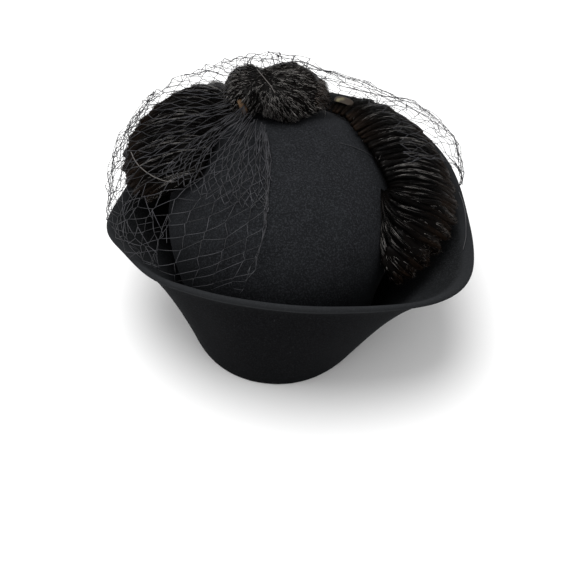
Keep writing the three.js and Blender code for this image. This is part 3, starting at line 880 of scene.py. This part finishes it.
def add_edge_fuzz(piece, fan, backing, felt, count, settings, rng):
    """Short brown hairs standing out from the backing all round the fan's outer edge."""
    seeds, normals = scattered(backing, count * 6, rng)
    outward = outward_of(seeds)
    outer = np.sum(normals * outward, 1) > rng.uniform(-0.1, 0.5, len(seeds))
    outer &= fan_flow(fan)(seeds, normals)[1] > 0.25
    seeds, normals, outward = (column[outer][:count] for column in (seeds, normals, outward))
    count = len(seeds)
    heading = unit(outward + normals * 0.9 + rng.normal(0, 0.35, (count, 3)))
    length = (rng.uniform(0.3, 1.0, count) * settings.fuzz * MM)[:, None]
    curl = unit(np.cross(heading, rng.normal(0, 1, (count, 3)))) * length * 0.12
    stations = np.stack([seeds - normals * 0.5 * MM, seeds + heading * length * 0.5 + curl,
                         seeds + heading * length], 1)
    add_hairs(
        piece, stations, HAIR_GAP, [felt], settings, rng, (0.4, 0.8), edge=(0.5, 1.0), tip_from=0.4
    )


# The fur's body grows no hairs nearer to the felt than this, in millimetres
COVERED = 2.2


def add_backing(piece, backing, settings, felt, flow_at, count, rng):
    """The fur's body from its CAD solid, with short hairs over the sides that show."""
    faces = [list(face.vertices) for face in backing.polygons]
    piece.add(points_of(backing), [faces], 0.1, 0.2, 0.05)
    seeds, normals = scattered(backing, count, rng)
    away = np.array([felt.find_nearest(Vector(seed))[3] for seed in seeds])
    shown = away > COVERED * MM
    seeds, normals = seeds[shown], normals[shown]
    flow, edge = flow_at(seeds, normals)
    length = rng.uniform(0.5, 1.0, len(seeds)) * settings.hair_length * MM
    lift = rng.uniform(0.1, 1.0, len(seeds)) * settings.lift * MM
    stations = grown(seeds, normals, flow, length, lift, 0.08, rng, 0.18)
    add_hairs(piece, stations, HAIR_GAP, [felt], settings, rng, edge=edge * 0.7)


# Places at which a fan's flow is read, across it and down it
FLOW_GRID = (60, 14)

# Where down a fan its body turns brown, and over what share of its length
BROWN_FROM, BROWN_REACH = 0.75, 0.3


def fan_flow(fan):
    """The direction in which a fan's hair lies near a place, and how near that is to its edge."""
    across, down = FLOW_GRID
    lines = np.repeat(np.linspace(0, fan.last, across), down)
    shares = np.tile(np.linspace(0, 1.05, down), across)
    ways = fan.frame(lines, shares)[0]
    finders = []
    for sweep in (1.0, 0.0):
        finder = KDTree(len(lines))
        for n, spot in enumerate(fan.path(lines, shares, sweep)):
            finder.insert(spot, n)
        finder.balance()
        finders.append(finder)

    def flow_at(seeds, normals):
        near, level = ([finder.find(seed)[1] for seed in seeds] for finder in finders)
        return ways[near], np.clip((shares[level] - BROWN_FROM) / BROWN_REACH, 0, 1)

    return flow_at


def make_fan(node, rows, gather, locks, settings, seed):
    """A fur fan: its body, its ribs with their hairs, and the fuzz at its edge."""
    rng = np.random.default_rng(seed)
    felt = cad_tree("crown")
    fan = Fan(rows, gather, felt)
    body = softened(node, node + "_body", settings.voxel * MM, settings.ease_rounds)
    surface = tree_of(body)
    piece = Piece(node + "_pelt")
    add_backing(piece, body.data, settings, felt, fan_flow(fan), settings.backing_hairs, rng)
    for number in range(locks):
        lock = Lock(fan, number, locks, surface, settings, rng)
        add_lock(piece, lock, felt, rng.uniform(0, 0.5))
        add_lock_hairs(piece, lock, felt, settings.lock_hairs // locks, settings, rng)
    add_edge_fuzz(piece, fan, body.data, felt, settings.edge_hairs, settings, rng)
    bpy.data.objects.remove(body)
    return piece.made()


def lobe_of(points):
    """Which of the knot's lobes each point belongs to."""
    shares = []
    for lobe in KNOT_LOBES:
        centre = np.array(lobe["centre"]) * MM + AXIS
        shares.append(np.linalg.norm((points - centre) / (np.array(lobe["half"]) * MM), axis=-1))
    return np.argmin(shares, axis=0)


def knot_flow(seeds, normals):
    """Hair on a lobe runs away from its seam, over the side and down."""
    seams = np.array([lobe["seam"] for lobe in KNOT_LOBES]) * MM + AXIS
    first, last = (seams[lobe_of(seeds), end] for end in (0, 1))
    along = last - first
    share = np.sum((seeds - first) * along, 1) / np.sum(along * along, 1)
    away = unit(seeds - first - along * np.clip(share, 0, 1)[:, None])
    brown = ((seeds[:, 1] - AXIS[1]) / MM - KNOT_BROWN["from"]) / KNOT_BROWN["reach"]
    return laid(away, normals), np.clip(brown, 0, KNOT_BROWN["most"])


def marched(tree, start, heading, steps, stride):
    """Points and normals met on walking over a surface from a spot, along a heading."""
    spot, normal, _, _ = tree.find_nearest(Vector(start))
    way = Vector(heading)
    line = []
    for _ in range(steps):
        way = (way - normal * way.dot(normal)).normalized()
        line.append((np.array(spot), np.array(normal), np.array(way)))
        spot, after, _, _ = tree.find_nearest(spot + way * stride)
        if after.dot(normal) < 0.3:
            break
        normal = after
    return [np.array(column) for column in zip(*line)]


def add_knot_lock(piece, surface, felt, lobe, angle, settings, rng):
    """One rib of the knot, from its lobe's seam over the side, with the hairs on it."""
    first, last = (np.array(end) * MM + AXIS for end in lobe["seam"])
    around = np.array([math.cos(angle), math.sin(angle), 0.0])
    share = np.clip(0.5 + 0.5 * np.dot(around, unit(last - first)) + rng.normal(0, 0.2), 0, 1)
    reach = rng.uniform(0.8, 1.0) * settings.knot_reach * MM
    steps = KNOT_RIB["steps"]
    start = first + (last - first) * share + around * rng.uniform(0.5, 8) * MM
    spots, normals, ways = marched(surface, start, around - 0.2 * UP, steps, reach / steps)
    steps = len(spots)
    if steps < 4:
        return
    share = np.linspace(0, 1, steps)
    width = np.interp(share, KNOT_RIB["share"], KNOT_RIB["width"]) * MM * rng.uniform(0.8, 1.15)
    aside = np.cross(ways, normals)
    turn = np.linspace(0, 2 * np.pi, 7, endpoint=False)[:, None]
    circle = aside[:, None] * np.cos(turn) + normals[:, None] * np.sin(turn)
    middle = spots - normals * width[:, None] * 0.35
    rings = kept_clear(middle[:, None] + circle * width[:, None, None], RIB_GAP, felt)
    add_tube(piece, rings, share * 0.5, rng.uniform(0, 0.5), share**3 * 0.15)
    count = settings.knot_lock_hairs
    position = rng.uniform(0, steps - 1.01, count)
    index = position.astype(int)
    tilt = np.radians(rng.uniform(10, 170, count))[:, None]
    out = aside[index] * np.cos(tilt) + normals[index] * np.sin(tilt)
    seeds = middle[index] + (middle[index + 1] - middle[index]) * (position - index)[:, None]
    seeds = seeds + out * width[index][:, None]
    length = rng.uniform(0.5, 1.0, count) * settings.hair_length * MM
    lift = rng.uniform(0.1, 1.0, count) ** 2 * settings.lift * MM
    stations = grown(seeds, out, ways[index], length, lift, 0.12, rng, 0.12)
    # Painted highlight: more of the knot's hairs are drawn as pale strands, at random, as glints.
    add_hairs(
        piece, stations, HAIR_GAP, [felt], settings, rng,
        bright=lambda chance: chance**0.75, edge=(position / steps) ** 3 * 0.2,
    )


def add_fringe(piece, body, felt, settings, rng):
    """Stiff short strands standing out in a row below the knot, where it meets the crown."""
    seeds, normals = scattered(body, settings.fringe_hairs * 12, rng)
    height = seeds[:, 2] / MM
    low = (height > FRINGE_LOW) & (height < FRINGE_HIGH) & (normals[:, 1] < -0.25)
    seeds, normals = (column[low][:settings.fringe_hairs] for column in (seeds, normals))
    count = len(seeds)
    heading = knot_flow(seeds, normals)[0]
    length = rng.uniform(0.5, 1.0, count) * settings.fringe * MM
    lift = rng.uniform(0.15, 0.45, count) * length
    stations = grown(seeds, normals, heading, length, lift, 0.1, rng, 0.12)
    add_hairs(piece, stations, HAIR_GAP, [felt], settings, rng, (1.5, 2.6))


def add_tail(piece, body, clear_of, settings, rng):
    """Loose brown strands at the knot's right end, trailing down towards the right fur."""
    seeds, normals = scattered(body, settings.tail_hairs * 60, rng)
    right_end = KNOT_TAIL["from"] * MM + AXIS[0]
    end = (seeds[:, 0] > right_end) & (normals[:, 2] > -0.2) & (normals[:, 0] > 0.1)
    seeds, normals = (column[end][:settings.tail_hairs] for column in (seeds, normals))
    count = len(seeds)
    heading = unit(np.array(KNOT_TAIL["heading"]) + rng.normal(0, 0.22, (count, 3)))
    length = rng.uniform(0.4, 1.0, count) * settings.tail * MM
    stations = grown(seeds, normals, heading, length, 0.15 * length, 0.12, rng, 0.12)
    add_hairs(piece, stations, RIB_GAP, clear_of, settings, rng, (0.8, 1.6), edge=(0.2, 1))


def make_knot(settings, seed):
    """The fur knot: its body, the ribs of its lobes, the fringe below it and its tail."""
    rng = np.random.default_rng(seed)
    felt = cad_tree("crown")
    piece = Piece("fur_knot_pelt")
    body = softened("fur_knot", "fur_knot_body", settings.voxel * MM, settings.ease_rounds)
    surface = tree_of(body)
    add_backing(piece, body.data, settings, felt, knot_flow, settings.backing_hairs, rng)
    for lobe in KNOT_LOBES:
        for number in range(lobe["locks"]):
            angle = 2 * math.pi * (number + rng.uniform(-0.25, 0.25)) / lobe["locks"]
            add_knot_lock(piece, surface, felt, lobe, angle, settings, rng)
    add_fringe(piece, body.data, felt, settings, rng)
    right_fur = cad_tree("fur_right")
    add_tail(piece, body.data, (felt, right_fur), settings, rng)
    bpy.data.objects.remove(body)
    return piece.made()


# Net

# How far the veil's first part over the crown bows to the right, in millimetres
FRONT_BULGE = 13


def veil_point(u, v):
    """Point of the veil: u along its table, v from the gather to the free edge."""
    bulge = np.exp(-((u / 0.08) ** 2)) * np.sin(np.clip(v, 0, 1) * np.pi) * FRONT_BULGE
    at = VEIL.at(np.asarray(u) * VEIL.last)
    spread = np.sin(np.clip(v, 0, 1) * np.pi / 2)
    height = np.maximum(1 - spread ** at["fullness"], 0) ** (1 / at["fullness"])
    flat = [at["in_" + c] + (at["out_" + c] - at["in_" + c]) * spread for c in "xy"]
    flat[0] = flat[0] + bulge
    up = at["out_z"] + (at["in_z"] - at["out_z"]) * height
    return np.stack([*flat, up], -1) * MM + AXIS


def add_threads(piece, lines, radius, rng, pale=0.0):
    """Fine four-sided threads through lines of points (thread, station, xyz)."""
    count, steps = lines.shape[:2]
    turns = (0, math.pi / 2, math.pi, math.pi * 3 / 2)
    points = rings_round(lines, radius, turns, 0.013).reshape(count, -1, 3)
    each = points.shape[1]
    ends = [[3, 2, 1, 0], [each - 4, each - 3, each - 2, each - 1]]
    groups = [repeated(group, count, each) for group in (grid_faces(steps, 4), ends)]
    piece.add(points, groups, 0.0, np.repeat(rng.random(count), each), pale)


def add_knots(piece, spots, radius, rng):
    """Small tied knots, each an uneven eight-sided bead."""
    corners = np.array([(1, 0, 0), (0, 1, 0), (-1, 0, 0), (0, -1, 0), (0, 0, 1), (0, 0, -1)])
    upper = [(side, (side + 1) % 4, 4) for side in range(4)]
    lower = [((side + 1) % 4, side, 5) for side in range(4)]
    size = radius * rng.uniform(0.7, 1.3, (len(spots), 1, 3))
    points = spots[:, None] + corners * size
    piece.add(points, [repeated(upper + lower, len(spots), 6)], 0.0, 0.3)


# Half the length that two threads run together at a crossing, as a share of a half cell
JOINT = 0.07

# Shortest piece of thread that is made, in millimetres
SHORTEST = 0.3


def add_net(piece, layer, clear_of, settings, rng):
    """One thickness of diamond net, with the unevenness of a gathered veil."""
    columns = 2 * layer["cells"]
    rows = 2 * layer["rows"]
    u_low, u_high = layer["u"]
    v_low, v_high = layer["v"]
    shift = rng.normal(0, 1, (3 * columns, rows + 1, 3))
    pucker = settings.pucker * MM

    def surface(i, j, offset):
        u = u_low + (u_high - u_low) * (i + layer["lean"] * (j - rows / 2)) / columns
        u = np.clip(u, u_low, u_high)
        v = v_low + (v_high - v_low) * (j / rows) ** layer["ease"]
        spot = veil_point(u, v)
        waves = np.sin(u * 61 + 2.2 * v) * 0.6 + np.sin(u * 143 + 5 * v + 1.3) * 0.4
        free = np.sin(np.clip(v, 0, 1) * np.pi * 0.5)
        return spot + UP * (waves * free * pucker)[..., None] + offset * layer["stray"] * MM

    lines = []
    beyond = math.ceil(abs(layer["lean"]) * rows / 2)
    t = np.linspace(0, 1, 4)
    for i in range(-beyond, columns + beyond + 1):
        for j in range(rows + 1):
            if (i + j) % 2:
                continue
            joint = np.clip(j + (t - 0.5) * 2 * JOINT, 0, rows)
            lines.append(surface(i + 0 * t, joint, shift[i, j]))
            for step in (-1, 1):
                a, b = i + step, j + 1
                if b > rows:
                    continue
                offset = shift[i, j] * (1 - t[:, None]) + shift[a, b] * t[:, None]
                lines.append(surface(i + (a - i) * t, j + JOINT + (1 - 2 * JOINT) * t, offset))
    lines = np.array(lines)
    reach = np.linalg.norm(lines[:, -1] - lines[:, 0], axis=1)
    lines = kept_clear(lines[reach > SHORTEST * MM], settings.clearance * MM, *clear_of)
    add_threads(piece, lines, settings.thread_radius * MM, rng)
    add_knots(piece, lines[::5, 0], settings.knot_radius * MM, rng)


def sides_of(forward):
    """Right and upward directions of a view along a direction."""
    right = forward.cross(Vector(UP)).normalized()
    return right, right.cross(forward)


def camera_place(settings):
    """Camera position and the spot it looks at, from the stage's settings."""
    azimuth = math.radians(settings.azimuth)
    elevation = math.radians(settings.elevation)
    back = Vector((
        math.sin(azimuth) * math.cos(elevation),
        -math.cos(azimuth) * math.cos(elevation),
        math.sin(elevation),
    ))
    target = Vector(AXIS + UP * settings.target_height)
    right, upward = sides_of(-back)
    aim = target + upward * settings.aim_up + right * settings.aim_right
    return target + back * settings.distance, aim


def pixel_ray(pixel, settings):
    """Start and direction of the camera's line through a pixel of the photo."""
    spot, aim = camera_place(settings)
    forward = (aim - spot).normalized()
    right, upward = sides_of(forward)
    focal = settings.lens / settings.sensor * PHOTO_WIDTH
    x, y = pixel[0] - PHOTO_WIDTH / 2, PHOTO_WIDTH / 2 - pixel[1]
    return spot, (forward * focal + right * x + upward * y).normalized()


def add_loose_thread(piece, thread, stage, rng):
    """A thread that lies on another piece, laid along the photo's pixels."""
    tree = cad_tree(thread["lies_on"])
    radius = thread["radius"] * MM
    spots = []
    for pixel in thread["pixels"]:
        start, way = pixel_ray(pixel, stage)
        spot = tree.ray_cast(start, way)[0]
        if spot is not None:
            spots.append(np.array(spot - way * (radius + thread["above"] * MM)))
    stations = np.linspace(0, len(spots) - 1, 4 * len(spots))
    line = eased(sampled(np.array(spots), range(len(spots)), stations), 1)
    add_threads(piece, line[None], radius, rng, thread["pale"])


# Hide

# Where a strip's dark border begins, as a share of its half size, and how fast it darkens
BORDER_FROM, BORDER_RISE = 0.55, 2.2


def hide_border(points, aside):
    """How dark a strip of hide is, darker from its middle moved aside towards its uneven border."""
    middle, half = (points.max(0) + points.min(0)) / 2, np.ptp(points, axis=0) / 2
    reach = np.linalg.norm((points - middle) / half * (1, 1, 0) + (aside, 0, 0), axis=1)
    border_wobble = uneven(points, 0.003, 0.5)
    return np.clip((reach + border_wobble + aside - BORDER_FROM) * BORDER_RISE, 0, 1)


# Settings

def number_setting(name, default, description, **more):
    return bpy.props.FloatProperty(name=name, default=default, description=description, **more)


def length_setting(name, default, description):
    """A length in millimetres."""
    return number_setting(name, default, description, min=0)


def share_setting(name, default, description):
    return number_setting(name, default, description, min=0, max=1)


def metre_setting(name, default, description, **more):
    return number_setting(name, default, description, unit="LENGTH", **more)


def count_setting(name, default, description):
    return bpy.props.IntProperty(name=name, default=default, min=0, description=description)


def colour_setting(name, default, description):
    return bpy.props.FloatVectorProperty(
        name=name, default=default, size=3, min=0, max=1, subtype="COLOR", description=description
    )


class FeltSettings(bpy.types.PropertyGroup):
    """Sizes and colours of the felt."""

    crown_colour: colour_setting("Crown", srgb(24, 25, 27), "Felt of the crown")
    # Painted shade: the brim's felt is set darker than the crown's to stand for the shade over the
    # turned-up brim.
    brim_shade_colour: colour_setting("Brim", srgb(19, 20, 21), "Felt of the turned-up brim")
    # Painted shade: the cuff colour is the brim's felt darkened for the shade on its outside, which
    # faces down away from the light.
    cuff_shade_colour: colour_setting("Cuff", srgb(3, 3, 4), "Outside of the brim, brushed downward")
    # Painted highlight and real lint: this colour lightens the rolled edge where light falls on its
    # top, and makes the lint flecks.
    lint_and_edge_highlight_colour: colour_setting("Rubbed edge", srgb(44, 45, 47), "Felt worn on the rolled edge")
    nap_scale: number_setting("Nap scale", 950, "Grains of nap to a metre", min=1)
    nap_depth: metre_setting("Nap depth", 0.0004, "Depth of the nap", min=0)
    sheen: share_setting("Sheen", 0.02, "Soft gloss of the fibres")
    fold_depth: number_setting("Folds", 1.0, "Strength of the brim's soft folds")


class FurSettings(bpy.types.PropertyGroup):
    """Sizes, numbers and colours of the fur."""

    # Dark, middle and pale are blended by the strand tone: pale is a painted highlight, and on the
    # ribs dark is a painted shade toward the valleys.
    dark_colour: colour_setting("Dark", srgb(2, 2, 2), "Deepest fur")
    mid_colour: colour_setting("Middle", srgb(12, 11, 11), "Lighter strands")
    pale_colour: colour_setting("Pale", srgb(150, 147, 144), "The few strands that shine")
    brown_colour: colour_setting("Brown", srgb(50, 37, 27), "Worn tips and edges")
    hair_radius: length_setting("Hair radius", 0.11, "Half the thickness of a lock of hairs")
    hair_length: length_setting("Hair length", 6.0, "Length of the short hairs")
    rib_hair_length: length_setting("Rib hair length", 13.0, "Length of the hairs on the ribs")
    lift: length_setting("Lift", 0.5, "How far tips stand off the fur")
    overhang: length_setting("Overhang", 1.0, "How far a rib's tip reaches past its backing")
    fuzz: length_setting("Fuzz", 2.4, "Length of the hairs at the outer edge")
    gloss: share_setting("Gloss", 0.03, "Gloss of the strands")
    voxel: length_setting("Voxel", 1.3, "Grid of the backing's mesh")
    ease_rounds: count_setting("Easing", 14, "Rounds that ease the backing")
    left_locks: count_setting("Left ribs", 27, "Ribs on the left")
    right_locks: count_setting("Right ribs", 32, "Ribs on the right")
    backing_hairs: count_setting("Backing hairs", 3300, "Hairs on each backing")
    lock_hairs: count_setting("Rib hairs", 8000, "Hairs on each fan's ribs")
    edge_hairs: count_setting("Edge hairs", 4000, "Hairs along each fan's outer edge")
    knot_lock_hairs: count_setting("Knot rib hairs", 90, "Hairs on each rib of the knot")
    knot_reach: length_setting("Knot reach", 34.0, "Length of the knot's ribs")
    fringe: length_setting("Fringe", 6.0, "Length of the strands below the knot")
    fringe_hairs: count_setting("Fringe hairs", 260, "Strands below the knot")
    tail: length_setting("Tail", 12.0, "Length of the loose strands at the knot's right end")
    tail_hairs: count_setting("Tail hairs", 420, "Loose strands at the knot's right end")


class VeilSettings(bpy.types.PropertyGroup):
    """Sizes and colours of the net."""

    thread_colour: colour_setting("Thread", srgb(22, 22, 24), "Thread of the net")
    pale_colour: colour_setting("Pale", srgb(104, 100, 96), "Loose threads that catch the light")
    thread_radius: length_setting("Thread radius", 0.2, "Half the thread's thickness")
    knot_radius: length_setting("Knot radius", 0.5, "Half the size of a tied knot")
    pucker: length_setting("Pucker", 1.6, "Depth of the net's soft waves")
    clearance: length_setting("Clearance", 0.7, "Least gap to what is under the net")


class HideSettings(bpy.types.PropertyGroup):
    """Colours of the bare hide."""

    tan_colour: colour_setting("Tan", srgb(84, 62, 36), "Tab beside the knot")
    pale_colour: colour_setting("Pale", srgb(98, 92, 68), "Piece on the right fur")


class StageSettings(bpy.types.PropertyGroup):
    """Camera, floor and lights."""

    azimuth: number_setting("Azimuth", 10.0, "Degrees round from the hat's back")
    elevation: number_setting("Elevation", 45.0, "Degrees above the floor")
    distance: metre_setting("Distance", 0.55, "Camera to target")
    target_height: metre_setting("Target height", 0.08, "Height looked at")
    aim_up: metre_setting("Aim up", -0.0633, "Aim above the target")
    aim_right: metre_setting("Aim right", 0.0023, "Aim beside the target")
    lens: number_setting("Lens", 47.05, "Focal length in millimetres")
    sensor: number_setting("Sensor", 36.0, "Sensor width in millimetres")
    floor_size: metre_setting("Floor", 6.0, "Side of the floor")
    floor_colour: colour_setting("Floor", (0.9, 0.9, 0.9), "Pale studio floor")
    key_power: number_setting("Key", 11.0, "Soft light over the hat", unit="POWER")
    side_power: number_setting("Side", 1.5, "Soft light from the left", unit="POWER")
    sky: number_setting("Sky", 0.76, "Even light all round")


# Operators

class HAT_OT_felt(bpy.types.Operator):
    """Makes the crown and the brim in pressed felt"""

    bl_idname = "hat.felt"
    bl_label = "Felt"

    def execute(self, context):
        settings = context.scene.hat_felt
        crown = subdivided("crown", "crown_felt", 2)
        points = points_of(crown.data)
        depth = uneven(points, 0.05, 0.5 * MM) * np.clip(points[:, 2] / EVEN_BASE, 0, 1)
        set_points(crown.data, points + outward_of(points, 0.6) * depth[:, None])
        for name in ("rolled", "outside"):
            set_tone(crown.data, name, np.zeros(len(points)))
        material = felt_material("crown_felt", settings.crown_colour, settings)
        finished(crown, material, "crown")

        brim = subdivided("brim", "brim_felt", 2)
        points = folded_brim(points_of(brim.data), settings.fold_depth)
        set_points(brim.data, points)
        # Painted highlight on the rolled edge, by the rolled tone.
        rolled = rolled_share(points, ROLLED_EDGE)
        set_tone(brim.data, "rolled", rolled)
        # Painted shade: the outside tone marks where the brim's outside is darkened, below the rolled
        # edge.
        set_tone(brim.data, "outside", cuff_shade_share(brim.data) * (1 - rolled))
        # Painted shade: the brim's felt colour is darker than the crown's.
        material = felt_material("brim_felt", settings.brim_shade_colour, settings)
        finished(brim, material, "brim")
        return {"FINISHED"}


class HAT_OT_fur_fans(bpy.types.Operator):
    """Makes the ribbed fur fans on the left and right of the crown"""

    bl_idname = "hat.fur_fans"
    bl_label = "Fur fans"

    def execute(self, context):
        settings = context.scene.hat_fur
        material = fur_material("fan_fur", settings)
        left = make_fan("fur_left", FUR_LEFT, GATHER_LEFT, settings.left_locks, settings, 11)
        right = make_fan("fur_right", FUR_RIGHT, GATHER_RIGHT, settings.right_locks, settings, 23)
        for item, node in ((left, "fur_left"), (right, "fur_right")):
            finished(item, material, node)
        return {"FINISHED"}


class HAT_OT_fur_knot(bpy.types.Operator):
    """Makes the two-lobed fur knot at the top"""

    bl_idname = "hat.fur_knot"
    bl_label = "Fur knot"

    def execute(self, context):
        settings = context.scene.hat_fur
        knot = make_knot(settings, 37)
        finished(knot, fur_material("knot_fur", settings), "fur_knot")
        return {"FINISHED"}


class HAT_OT_veil(bpy.types.Operator):
    """Makes the diamond net and its loose threads"""

    bl_idname = "hat.veil"
    bl_label = "Veil"

    def execute(self, context):
        settings = context.scene.hat_veil
        rng = np.random.default_rng(5)
        piece = Piece("veil_net")
        names = ("crown", "brim", "fur_left", "fur_knot", "fur_right")
        clear_of = [cad_tree(name) for name in names]
        for layer in NET_LAYERS:
            add_net(piece, layer, clear_of, settings, rng)
        for thread in LOOSE_THREADS:
            add_loose_thread(piece, thread, context.scene.hat_stage, rng)
        finished(piece.made(), net_material("net_thread", settings), "veil")
        return {"FINISHED"}


class HAT_OT_hide(bpy.types.Operator):
    """Makes the tan tab and the pale piece of hide"""

    bl_idname = "hat.hide"
    bl_label = "Hide"

    def execute(self, context):
        settings = context.scene.hat_hide
        rows = (
            ("hide_tab", "hide_tan", settings.tan_colour, 0.0),
            ("hide_patch", "hide_pale", settings.pale_colour, 0.4),
        )
        for node, slot, colour, aside in rows:
            item = subdivided(node, node + "_strip", 3)
            points = points_of(item.data)
            set_tone(item.data, "edge", hide_border(points, aside))
            rough = uneven(points, 0.004, 0.25 * MM)
            set_points(item.data, points + normals_of(item.data) * rough[:, None])
            finished(item, hide_material(node + "_leather", colour), node)
        return {"FINISHED"}


# Places of the two soft lights from the hat's middle, their size, and the height they face
KEY_PLACE = (-0.15, 0.1, 1.1)
SIDE_PLACE = (-1.0, -0.2, 0.8)
LIGHT_SIZE = 0.8
LIGHT_AIM = 0.08


class HAT_OT_stage(bpy.types.Operator):
    """Makes the floor, the soft lights and the camera at the photo's angle"""

    bl_idname = "hat.stage"
    bl_label = "Stage"

    def execute(self, context):
        settings = context.scene.hat_stage
        scene = context.scene
        self.add_floor(settings)
        self.add_light("key_light", KEY_PLACE, settings.key_power)
        self.add_light("side_light", SIDE_PLACE, settings.side_power)
        self.add_sky(scene, settings)
        spot, aim = camera_place(settings)
        camera = linked("camera", bpy.data.cameras.new("camera"))
        camera.data.lens = settings.lens
        camera.data.sensor_width = settings.sensor
        camera.data.clip_start = 0.01
        camera.location = spot
        camera.rotation_euler = (aim - spot).to_track_quat("-Z", "Y").to_euler()
        scene.camera = camera
        scene.view_settings.view_transform = "Standard"
        return {"FINISHED"}

    @staticmethod
    def add_floor(settings):
        side = settings.floor_size / 2
        corners = [(-side, -side, 0), (side, -side, 0), (side, side, 0), (-side, side, 0)]
        mesh = bpy.data.meshes.new("floor")
        mesh.from_pydata(corners, [], [(0, 1, 2, 3)])
        shader = Shader("studio_floor")
        pale = settings.floor_colour
        colour = shader.blend(shader.grain(40, 2), scaled(pale, 0.99), pale)
        material = shader.finish(Base_Color=colour, Roughness=0.9, Specular_IOR_Level=0.1)
        mesh.materials.append(material)
        linked("floor", mesh)

    @staticmethod
    def add_light(name, place, power):
        data = bpy.data.lights.new(name, "AREA")
        data.shape = "DISK"
        data.size = LIGHT_SIZE
        data.energy = power
        light = linked(name, data)
        light.location = Vector(AXIS + place)
        aim = Vector(AXIS + UP * LIGHT_AIM) - light.location
        light.rotation_euler = aim.to_track_quat("-Z", "Y").to_euler()

    @staticmethod
    def add_sky(scene, settings):
        world = bpy.data.worlds.new("studio")
        world.use_nodes = True
        sky = world.node_tree.nodes["Background"]
        sky.inputs["Color"].default_value = (1, 1, 1, 1)
        sky.inputs["Strength"].default_value = settings.sky
        scene.world = world


class HAT_PT_panel(bpy.types.Panel):
    """Lists the hat's pieces and their settings"""

    bl_idname = "HAT_PT_panel"
    bl_label = "Veiled Felt Hat"
    bl_space_type = "VIEW_3D"
    bl_region_type = "UI"
    bl_category = "Hat"

    def draw(self, context):
        layout = self.layout
        for operator, group in STEPS:
            box = layout.box()
            box.operator(operator.bl_idname)
            settings = getattr(context.scene, group)
            for name in settings.__annotations__:
                box.prop(settings, name)


GROUPS = {
    "hat_felt": FeltSettings,
    "hat_fur": FurSettings,
    "hat_veil": VeilSettings,
    "hat_hide": HideSettings,
    "hat_stage": StageSettings,
}
STEPS = (
    (HAT_OT_stage, "hat_stage"),
    (HAT_OT_felt, "hat_felt"),
    (HAT_OT_fur_fans, "hat_fur"),
    (HAT_OT_fur_knot, "hat_fur"),
    (HAT_OT_veil, "hat_veil"),
    (HAT_OT_hide, "hat_hide"),
)
CLASSES = (*GROUPS.values(), *(operator for operator, _ in STEPS), HAT_PT_panel)


def register():
    for item in CLASSES:
        bpy.utils.register_class(item)
    for name, group in GROUPS.items():
        setattr(bpy.types.Scene, name, bpy.props.PointerProperty(type=group))


def unregister():
    for name in GROUPS:
        delattr(bpy.types.Scene, name)
    for item in reversed(CLASSES):
        bpy.utils.unregister_class(item)


def main():
    register()
    bpy.ops.hat.stage()
    bpy.ops.hat.felt()
    bpy.ops.hat.fur_fans()
    bpy.ops.hat.fur_knot()
    bpy.ops.hat.veil()
    bpy.ops.hat.hide()


if __name__ == "__main__":
    main()
